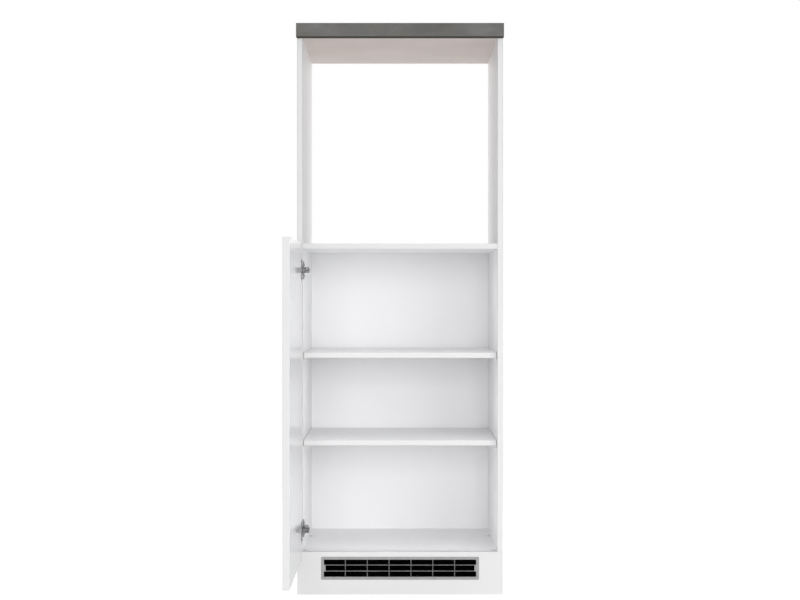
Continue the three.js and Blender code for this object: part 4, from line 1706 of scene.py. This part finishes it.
@dataclass
class HingeLinks(HingePart):
    """The outer link, two bent cheeks on a bridge, and the inner link, one bent strip with rolled eyes.

    Attributes:
        bore_gap: Room between a pin and its bore.
        outer_elbow: Bend of the outer link in the cup.
        knee: Bend of the outer link near the arm.
        outer_half: Half the outer link's width between its eyes.
        outer_eyes: Radii of its eyes, in the cup and on the arm.
        cheek_rim: Radius of a cheek's edges.
        small_rim: Radius of the edges of the stub pins and of the inner link.
        stub_sunk: How far a stub pin starts inside its cheek.
        stub_reach: How far it stands out of it.
        bridge_start: How far ahead of the knee the bridge starts, as (x, y).
        bridge_run: How far it runs on behind the knee.
        bridge_half: Half its thickness.
        bridge_lap: How far it reaches into the cheeks.
        inner_elbow: Bend of the inner link in the cup.
        strip_half: Half the inner link's thickness.
        strip_eyes: Radii of its eyes, in the cup and on the arm.
        strip_reach: Half its width.
    """

    bore_gap: float = 0.3
    outer_elbow: Pair = (3.1, -14.2)
    knee: Pair = (5.0, -3.6)
    outer_half: float = 1.5
    outer_eyes: Pair = (2.1, 2.6)
    cheek_rim: float = 0.3
    small_rim: float = 0.25
    stub_sunk: float = 0.2
    stub_reach: float = 0.6
    bridge_start: Pair = (0.75, 3.0)
    bridge_run: float = 3.0
    bridge_half: float = 0.7
    bridge_lap: float = 0.7
    inner_elbow: Pair = (3.1, -14.3)
    strip_half: float = 0.75
    strip_eyes: Pair = (1.8, 2.6)
    strip_reach: float = 4.2

    def build(self) -> None:
        """Makes the two links."""
        self.outer_link()
        self.inner_link()

    def outline(self, corners: Corners, half: float, eyes: Pair) -> Array:
        """Outline of a link: half as wide as max(half, sqrt(eye² - d²)) at the distance d from each end.

        Args:
            corners: The link's bent middle line.
            half: Half its width between the eyes.
            eyes: Radius of the eye at each end.

        Returns:
            The closed outline.
        """
        line = bent_path(corners, 72, 12)
        halves = np.full(len(line), half)
        for eye, end in zip(eyes, (line[0], line[-1])):
            away = np.linalg.norm(line - end, axis=1)
            halves = np.maximum(halves, np.sqrt(np.maximum(eye * eye - away * away, 0)))
        return stroke(line, halves, 13)

    def bore(self, pivot: Pair) -> Array:
        """The hole round a pivot's pin."""
        return arc(pivot, self.pin + self.bore_gap, 360, 15, 24)

    def outer_link(self) -> None:
        """Two bent cheeks with stub pins at the cup's end, and the bent bridge that joins them."""
        shell = self.shell()
        corners = [self.outer_tip, self.outer_elbow, self.knee, self.outer_pivot]
        cheek = self.outline(corners, self.outer_half, self.outer_eyes)
        ring = arc(self.outer_tip, self.pin, 0, 345, 24)
        inside, outside = self.link_inside, self.link_inside + self.link_cheek
        rims, small = (self.cheek_rim, self.cheek_rim), (self.small_rim, self.small_rim)
        for side in (-1, 1):
            span = ordered(side * inside, side * outside)
            shell.plate(cheek, span, Facing.UP, rims, [self.bore(self.outer_pivot)])
            stub = ordered(side * (inside + self.stub_sunk), side * (outside + self.stub_reach))
            shell.plate(ring, stub, Facing.UP, small)
        x, y = self.knee
        start = (x - self.bridge_start[0], y - self.bridge_start[1])
        bridge = bent_path([start, self.knee, (x + self.bridge_run, y)], 24, 6)
        strip = stroke(bridge, np.full(len(bridge), self.bridge_half), 9)
        shell.plate(strip, (-inside - self.bridge_lap, inside + self.bridge_lap), Facing.UP)
        publish(shell, f"{self.name}_outer_link", NICKEL)

    def inner_link(self) -> None:
        """One bent strip with a rolled eye at each end."""
        shell = self.shell()
        corners = [self.inner_tip, self.inner_elbow, self.inner_pivot]
        strip = self.outline(corners, self.strip_half, self.strip_eyes)
        span, rims = (-self.strip_reach, self.strip_reach), (self.small_rim, self.small_rim)
        shell.plate(strip, span, Facing.UP, rims, [self.bore(self.inner_pivot)])
        publish(shell, f"{self.name}_inner_link", NICKEL)


@dataclass
class HingeArm(HingePart):
    """Two pressed cheeks, the face between them with its slot and notch, and the two riveted pins.

    Attributes:
        half: Half the arm's width.
        sheet: Thickness of its steel.
        lap: How far below the face's outer side the cheeks end.
        shoulder: Where the cheeks' top ends ahead.
        foot: Height of the cheeks' lower edge behind the throat.
        nose: Lowest and highest height of the nose that bears the pins.
        nose_end: Where the nose ends.
        ahead: Where the face begins, and where the lower edge reaches the nose.
        cheek_rounds: Reach of the easing at each corner of a cheek.
        cheek_rim: Radius of a cheek's edges.
        face_inset: How much narrower the face is than the arm, on each side.
        face_rounds: Reach of the easing at each corner of the face.
        face_rim: Radius of the face's outer edge.
        notch: Half the width of the notch in the tail.
        slot: Half the distance between the middles of the slot's ends.
        slot_radius: Radius of those ends.
        rib: Depth of the pressed rib.
        rib_width: Its width.
        rib_end: Where it has run out, and where it is full.
        rivet_neck: How far inside the cheek's outer face a rivet's head begins.
        rivet: Rows of a rivet's head: its radius, and the distance out of the cheek.
    """

    half: float = 7.8
    sheet: float = 1.4
    lap: float = 0.35
    shoulder: float = -5.3
    foot: float = 3.0
    nose: Pair = (6.9, 11.4)
    nose_end: float = -10.1
    ahead: float = 1.5
    cheek_rounds: tuple[float, ...] = (2.2, 3.0, 1.2, 1.2, 4.0, 3.0, 2.4, 2.0)
    cheek_rim: float = 0.25
    face_inset: float = 0.05
    face_rounds: tuple[float, ...] = (1.6, 1.6, 0.8, 2.2, 2.2, 0.8, 1.6, 1.6)
    face_rim: float = 0.9
    notch: float = 2.7
    slot: float = 3.4
    slot_radius: float = 2.5
    rib: float = 0.5
    rib_width: float = 2.4
    rib_end: Pair = (20.0, 12.0)
    rivet_neck: float = 0.4
    rivet: tuple[Pair, ...] = ((1.9, -0.1), (1.3, 0.45), (0.0, 0.6))

    def build(self) -> None:
        """Makes the arm."""
        shell = self.shell()
        self.cheeks(shell)
        self.face(shell)
        self.pins(shell)
        publish(shell, f"{self.name}_hinge_arm", NICKEL)

    def cheeks(self, shell: Shell) -> None:
        """The two side walls, with a nose at the front.

        Args:
            shell: The arm's shell.
        """
        corners = [
            (self.arm_top - self.lap, self.shoulder), (self.arm_top - self.lap, self.arm_throat),
            (self.arm_tail_top - self.lap, self.arm_tail), (self.foot, self.arm_tail),
            (self.foot, self.arm_throat), (self.nose[0], self.ahead), (self.nose[0], self.nose_end),
            (self.nose[1], self.nose_end),
        ]
        cheek = softened(corners, self.cheek_rounds, 7)
        for side in (-1, 1):
            span = ordered(side * self.half, side * (self.half - self.sheet))
            shell.plate(cheek, span, Facing.UP, (self.cheek_rim, self.cheek_rim))

    def face(self, shell: Shell) -> None:
        """The sheet between the cheeks, with a slot for the front screw and a notch for the rear one.

        Args:
            shell: The arm's shell.
        """
        start, end, half, notch = self.ahead, self.arm_tail, self.half - self.face_inset, self.notch
        slot_middle, notch_end = self.screw_places
        corners = [
            (start, -half), (end, -half), (end, -notch), (notch_end, -notch), (notch_end, notch),
            (end, notch), (end, half), (start, half),
        ]
        outline = softened(corners, self.face_rounds, 6)
        slot = np.vstack([
            arc((slot_middle + self.slot, 0), self.slot_radius, 90, -90, 9),
            arc((slot_middle - self.slot, 0), self.slot_radius, 270, 90, 9),
        ])

        def sloped(points: Array) -> Array:
            """The face follows the arm's slope, with a shallow rib along its middle ahead of the slot."""
            moved = points.copy()
            across = np.exp(-((points[:, 2] / self.rib_width) ** 2))
            rib = self.rib * across * smooth_step(*self.rib_end, points[:, 1])
            moved[:, 0] += self.face_at(points[:, 1]) - rib
            return moved

        shell.plate(outline, (-self.sheet, 0), Facing.ACROSS, (0, self.face_rim), [slot], sloped)

    def pins(self, shell: Shell) -> None:
        """The two pins that the links turn on, with a riveted head at each end.

        Args:
            shell: The arm's shell.
        """
        rows = ((self.pin, -self.rivet_neck), *self.rivet)
        head = [(radius, self.half + out) for radius, out in rows]
        foot = [(radius, -height) for radius, height in reversed(head)]
        for pivot in (self.outer_pivot, self.inner_pivot):
            shell.turned(foot + head, pivot, Facing.UP, 28)


@dataclass
class MountingPlate(HingePart):
    """A die-cast cross: two rounded screw wings and the stepped spine that the arm straddles.

    Attributes:
        wings: Half the wings' width and half their height.
        wing_corner: Radius of their corners.
        wing_rim: Radius of their outer edge.
        spine_ends: Where the spine's lower step starts and ends.
        spine_half: Half its width.
        spine_top: Height of the spine's upper step.
        spine_step: How much lower, longer at each end and wider on each side the lower step is.
        spine_round: Radius of the spine's edges.
    """

    wings: Pair = (9.0, 26.0)
    wing_corner: float = 4.5
    wing_rim: float = 0.7
    spine_ends: Pair = (19.0, 55.0)
    spine_half: float = 6.0
    spine_top: float = 8.0
    spine_step: Triple = (0.5, 2.5, 1.4)
    spine_round: float = 0.6

    def build(self) -> None:
        """Makes the plate."""
        shell = self.shell()
        outline = rounded_loop(*self.wings, self.wing_corner, count=8) + [self.plate_middle, 0]
        shell.plate(outline, (0, self.plate_thick), Facing.ACROSS, (0, self.wing_rim))
        rise, along, across = self.spine_step
        start, end = self.spine_ends
        for upper in (0, 1):
            inward = upper * across - self.spine_half
            low = (0.0, start + upper * along, inward)
            high = (self.spine_top - (1 - upper) * rise, end - upper * along, -inward)
            shell.rounded_box(low, high, self.spine_round)
        publish(shell, f"{self.name}_mounting_plate", NICKEL)


@dataclass(frozen=True)
class ScrewSize:
    """One kind of screw.

    Attributes:
        head: Radius of the head.
        high: Height of the head.
        shank: Radius of the thread's crests.
        pitch: From one crest of the thread to the next.
        core: Radius between the crests as a share of the shank's.
        tip: Radius of the blunt tip as a share of the shank's.
        tip_length: Length of the tip.
        thread_start: Where the first crest lies over the tip's end.
        neck: Radius under the head as a share of the shank's.
        neck_sunk: How far the neck reaches into the head.
    """

    head: float
    high: float
    shank: float
    pitch: float = 1.1
    core: float = 0.78
    tip: float = 0.45
    tip_length: float = 0.6
    thread_start: float = 0.8
    neck: float = 0.8
    neck_sunk: float = 0.2

    def profile(self, low: float, seat: float) -> Array:
        """The shank as rows of (radius, height), a crest and a root in turn.

        Args:
            low: Where the screw ends.
            seat: Where its head sits.

        Returns:
            The profile, which starts and ends on the axis.
        """
        turns = np.arange(1, max(int((seat - low) / self.pitch), 2))
        radii = np.tile([self.shank, self.shank * self.core], len(turns))
        steps = np.repeat(turns - 1, 2) * self.pitch
        heights = low + self.thread_start + steps + np.tile([0, self.pitch / 2], len(turns))
        top = seat + self.neck_sunk
        return np.vstack([
            [[0, low], [self.shank * self.tip, low + self.tip_length]],
            np.column_stack([radii, heights]),
            [[self.shank * self.neck, top], [0, top]],
        ])


@dataclass
class HingeScrews(HingePart):
    """The cup's, the plate's and the arm's screws, each a turned shank under a crossed head.

    Attributes:
        cup_kind: The kind that holds the cup.
        cup_ahead: How far ahead of the cup's axis its screws sit.
        cup_reach: How far above and below the hinge's middle they sit.
        plate_kind: The kind that holds the plate.
        plate_reach: How far above and below the hinge's middle its screws sit.
        arm_kind: The kind that holds the arm.
        arm_lift: Room between the arm's face and the lowest place of its screws' heads.
    """

    cup_kind: ScrewSize = ScrewSize(3.6, 1.3, 1.9)
    cup_ahead: float = 6.0
    cup_reach: float = 24.0
    plate_kind: ScrewSize = ScrewSize(4.2, 1.8, 2.4)
    plate_reach: float = 16.0
    arm_kind: ScrewSize = ScrewSize(3.6, 1.6, 2.2)
    arm_lift: float = 0.3

    def build(self) -> None:
        """Makes the six screws."""
        on_flange = self.flange - self.door_gap
        cup_row = self.cup_middle - self.cup_ahead
        for place, way in (("low", -1), ("high", 1)):
            self.screw(f"cup_screw_{place}", (cup_row, way * self.cup_reach), on_flange, self.cup_kind)
            plate_centre = (self.plate_middle, way * self.plate_reach)
            self.screw(f"plate_screw_{place}", plate_centre, self.plate_thick, self.plate_kind)
        for place, along in zip(("front", "rear"), self.screw_places):
            seat = float(self.face_at(along - self.arm_kind.head)) + self.arm_lift
            self.screw(f"arm_screw_{place}", (along, 0.0), seat, self.arm_kind)

    def screw(self, title: str, centre: Pair, seat: float, kind: ScrewSize) -> None:
        """One screw whose axis lies across.

        Args:
            title: The CAD node's name after the hinge's.
            centre: Its axis as (y, z).
            seat: Where its head sits.
            kind: Its sizes.
        """
        node = f"{self.name}_{title}"
        shell = self.shell()
        low = float(box_of(node)[0][0]) + ROOM_HALF
        shell.turned(kind.profile(low, seat), centre, Facing.ACROSS, 20)
        shell.screw_head(centre, seat, kind.head, kind.high, Facing.ACROSS)
        publish(shell, node, ZINC)


@dataclass(frozen=True)
class Softbox:
    """A rectangular lamp behind a diffuser.

    Attributes:
        name: The lamp's name.
        place: Where it hangs, m.
        target: What it points at, m.
        size: Its width and height, m.
        power: Its power, W.
        mirrored: Whether glossy surfaces show it.
    """

    name: str
    place: Triple
    target: Triple
    size: Pair
    power: float
    mirrored: bool = True

    def build(self) -> None:
        """Hangs the lamp, out of the camera's sight."""
        data = bpy.data.lights.new(self.name, "AREA")
        data.shape = "RECTANGLE"
        data.size, data.size_y = self.size
        data.energy = self.power
        lamp = bpy.data.objects.new(self.name, data)
        lamp.location = self.place
        aim = Vector(self.target) - Vector(self.place)
        lamp.rotation_euler = aim.to_track_quat("-Z", "Y").to_euler()
        lamp.visible_camera = False
        lamp.visible_glossy = self.mirrored
        bpy.context.scene.collection.objects.link(lamp)


@dataclass
class Studio:
    """Floor, background, lamps and the camera of the photograph.

    Attributes:
        distance: From the camera to the middle of the unit's foot, m.
        eye: The camera's height, m.
        focal: Focal length in pixels of the picture.
        picture_width: Width of the picture in pixels.
        sensor: Width of the camera's sensor, mm.
        ambient: Strength of the sky for diffuse light.
        floor_colour: Colour of the floor's paint.
        floor_lift: White that the floor adds where it is seen, so that only its shadow shows.
        floor_half: Half the floor's width, m.
        floor_fade: Distances from the unit between which the floor fades into the white background, m.
        floor_bounce: Light that the faded floor sends back to the unit.
        softboxes: The lamps, with a thin diffuser in the mouth of each room of the door compartment.
    """

    distance: float = 5.251
    eye: float = 0.856
    focal: float = 1804.7
    picture_width: float = 800.0
    sensor: float = 36.0
    ambient: float = 0.34
    floor_colour: str = "#F2F2F2"
    floor_lift: float = 0.48
    floor_half: float = 9.0
    floor_fade: Pair = (1.4, 3.2)
    floor_bounce: float = 0.4
    softboxes: tuple[Softbox, ...] = (
        Softbox("far_front_softbox", (0.0, -10.0, 1.6), (0.0, 0.0, 0.8), (3.0, 3.0), 265.0, False),
        Softbox("right_front_softbox", (1.9, -3.2, 1.2), (0.0, 0.0, 0.9), (1.6, 1.6), 30.0),
        Softbox("lower_room_diffuser", (0.0, 0.012, 0.277), (0.0, 1.0, 0.277), (0.54, 0.25), 0.28, False),
        Softbox("middle_room_diffuser", (0.0, 0.012, 0.566), (0.0, 1.0, 0.566), (0.54, 0.18), 0.23, False),
        Softbox("upper_room_diffuser", (0.0, 0.012, 0.853), (0.0, 1.0, 0.853), (0.54, 0.25), 0.28, False),
        Softbox("left_softbox", (-4.2, 1.4, 1.8), (0.0, 0.2, 0.9), (2.4, 2.4), 50.0, False),
        Softbox("right_softbox", (4.2, 1.4, 1.8), (0.0, 0.2, 0.9), (2.4, 2.4), 50.0, False),
        Softbox("rear_softbox", (0.0, 3.4, 1.3), (0.0, 0.5, 0.6), (1.8, 1.8), 26.0, False),
        Softbox("overhead_softbox", (0.0, 1.8, 4.0), (0.0, 0.3, 0.8), (2.4, 2.4), 20.0, False),
    )

    def build(self) -> None:
        """Makes the camera, the floor, the background and the lamps."""
        self.camera()
        self.floor()
        self.background()
        for softbox in self.softboxes:
            softbox.build()
        bpy.context.scene.view_settings.view_transform = "Standard"

    def camera(self) -> None:
        """A level camera straight ahead of the unit."""
        data = bpy.data.cameras.new("photo_camera")
        data.sensor_width = self.sensor
        data.lens = self.focal / self.picture_width * self.sensor
        camera = bpy.data.objects.new("photo_camera", data)
        camera.location = (0.0, -self.distance, self.eye)
        camera.rotation_euler = (math.pi / 2, 0.0, 0.0)
        bpy.context.scene.collection.objects.link(camera)
        bpy.context.scene.camera = camera

    def seen_directly(self, tree: Tree) -> Any:
        """The socket that is 1 for camera, glossy and transmission rays."""
        rays = ("Is Camera Ray", "Is Glossy Ray", "Is Transmission Ray")
        camera, glossy, through = (add_node(tree, "LightPath", output=ray) for ray in rays)
        either = add_node(tree, "Math", [camera, glossy], operation="MAXIMUM")
        return add_node(tree, "Math", [either, through], operation="MAXIMUM")

    def floor(self) -> None:
        """A wide pale floor: matt paint under the shadow, lifted where seen, white away from the unit."""
        mesh = bpy.data.meshes.new("studio_floor")
        half = self.floor_half
        corners = [(-half, -half, 0), (half, -half, 0), (half, half, 0), (-half, half, 0)]
        mesh.from_pydata(corners, [], [(0, 1, 2, 3)])
        floor = bpy.data.objects.new("studio_floor", mesh)
        bpy.context.scene.collection.objects.link(floor)
        paint = bpy.data.materials.new("studio_floor_paint")
        paint.use_nodes = True
        tree = paint.node_tree
        tree.nodes.clear()
        matt = add_node(tree, "BsdfDiffuse", [linear(self.floor_colour)])
        seen = self.seen_directly(tree)
        lift = add_node(tree, "Math", [seen, self.floor_lift], operation="MULTIPLY")
        near = add_node(tree, "AddShader", [matt, add_node(tree, "Emission", {"Strength": lift})])
        white = add_node(tree, "Math", [seen, self.floor_bounce], operation="MAXIMUM")
        far = add_node(tree, "Emission", {"Strength": white})
        place = add_node(tree, "TexCoord", output="Object")
        away = add_node(tree, "VectorMath", [place], "Value", operation="LENGTH")
        fade = add_node(tree, "MapRange", [away, *self.floor_fade, 0.0, 1.0], interpolation_type="SMOOTHSTEP")
        add_node(tree, "OutputMaterial", [add_node(tree, "MixShader", [fade, near, far])])
        mesh.materials.append(paint)

    def background(self) -> None:
        """A white sky where it is seen, and an even soft light otherwise."""
        world = bpy.data.worlds.new("studio_world")
        world.use_nodes = True
        bpy.context.scene.world = world
        tree = world.node_tree
        tree.nodes.clear()
        white = linear("#FFFFFF")
        soft = add_node(tree, "Background", [white, self.ambient])
        seen = add_node(tree, "Background", [white, 1.0])
        add_node(tree, "OutputWorld", [add_node(tree, "MixShader", [self.seen_directly(tree), soft, seen])])


def main() -> None:
    """Builds the studio and the sub-assemblies."""
    logging.basicConfig(level=logging.INFO, format="%(name)s: %(message)s")
    Studio().build()
    for assembly in (Carcass(), LooseShelves(), Worktop(), Door()):
        assembly.build()
        assembly.dress()
    Connectors().build()
    VentGrille().build()
    for name, height in HINGE_HEIGHTS.items():
        for part in (HingeCup, HingeLinks, HingeArm, MountingPlate, HingeScrews):
            part(name, height).build()


if __name__ == "__main__":
    main()
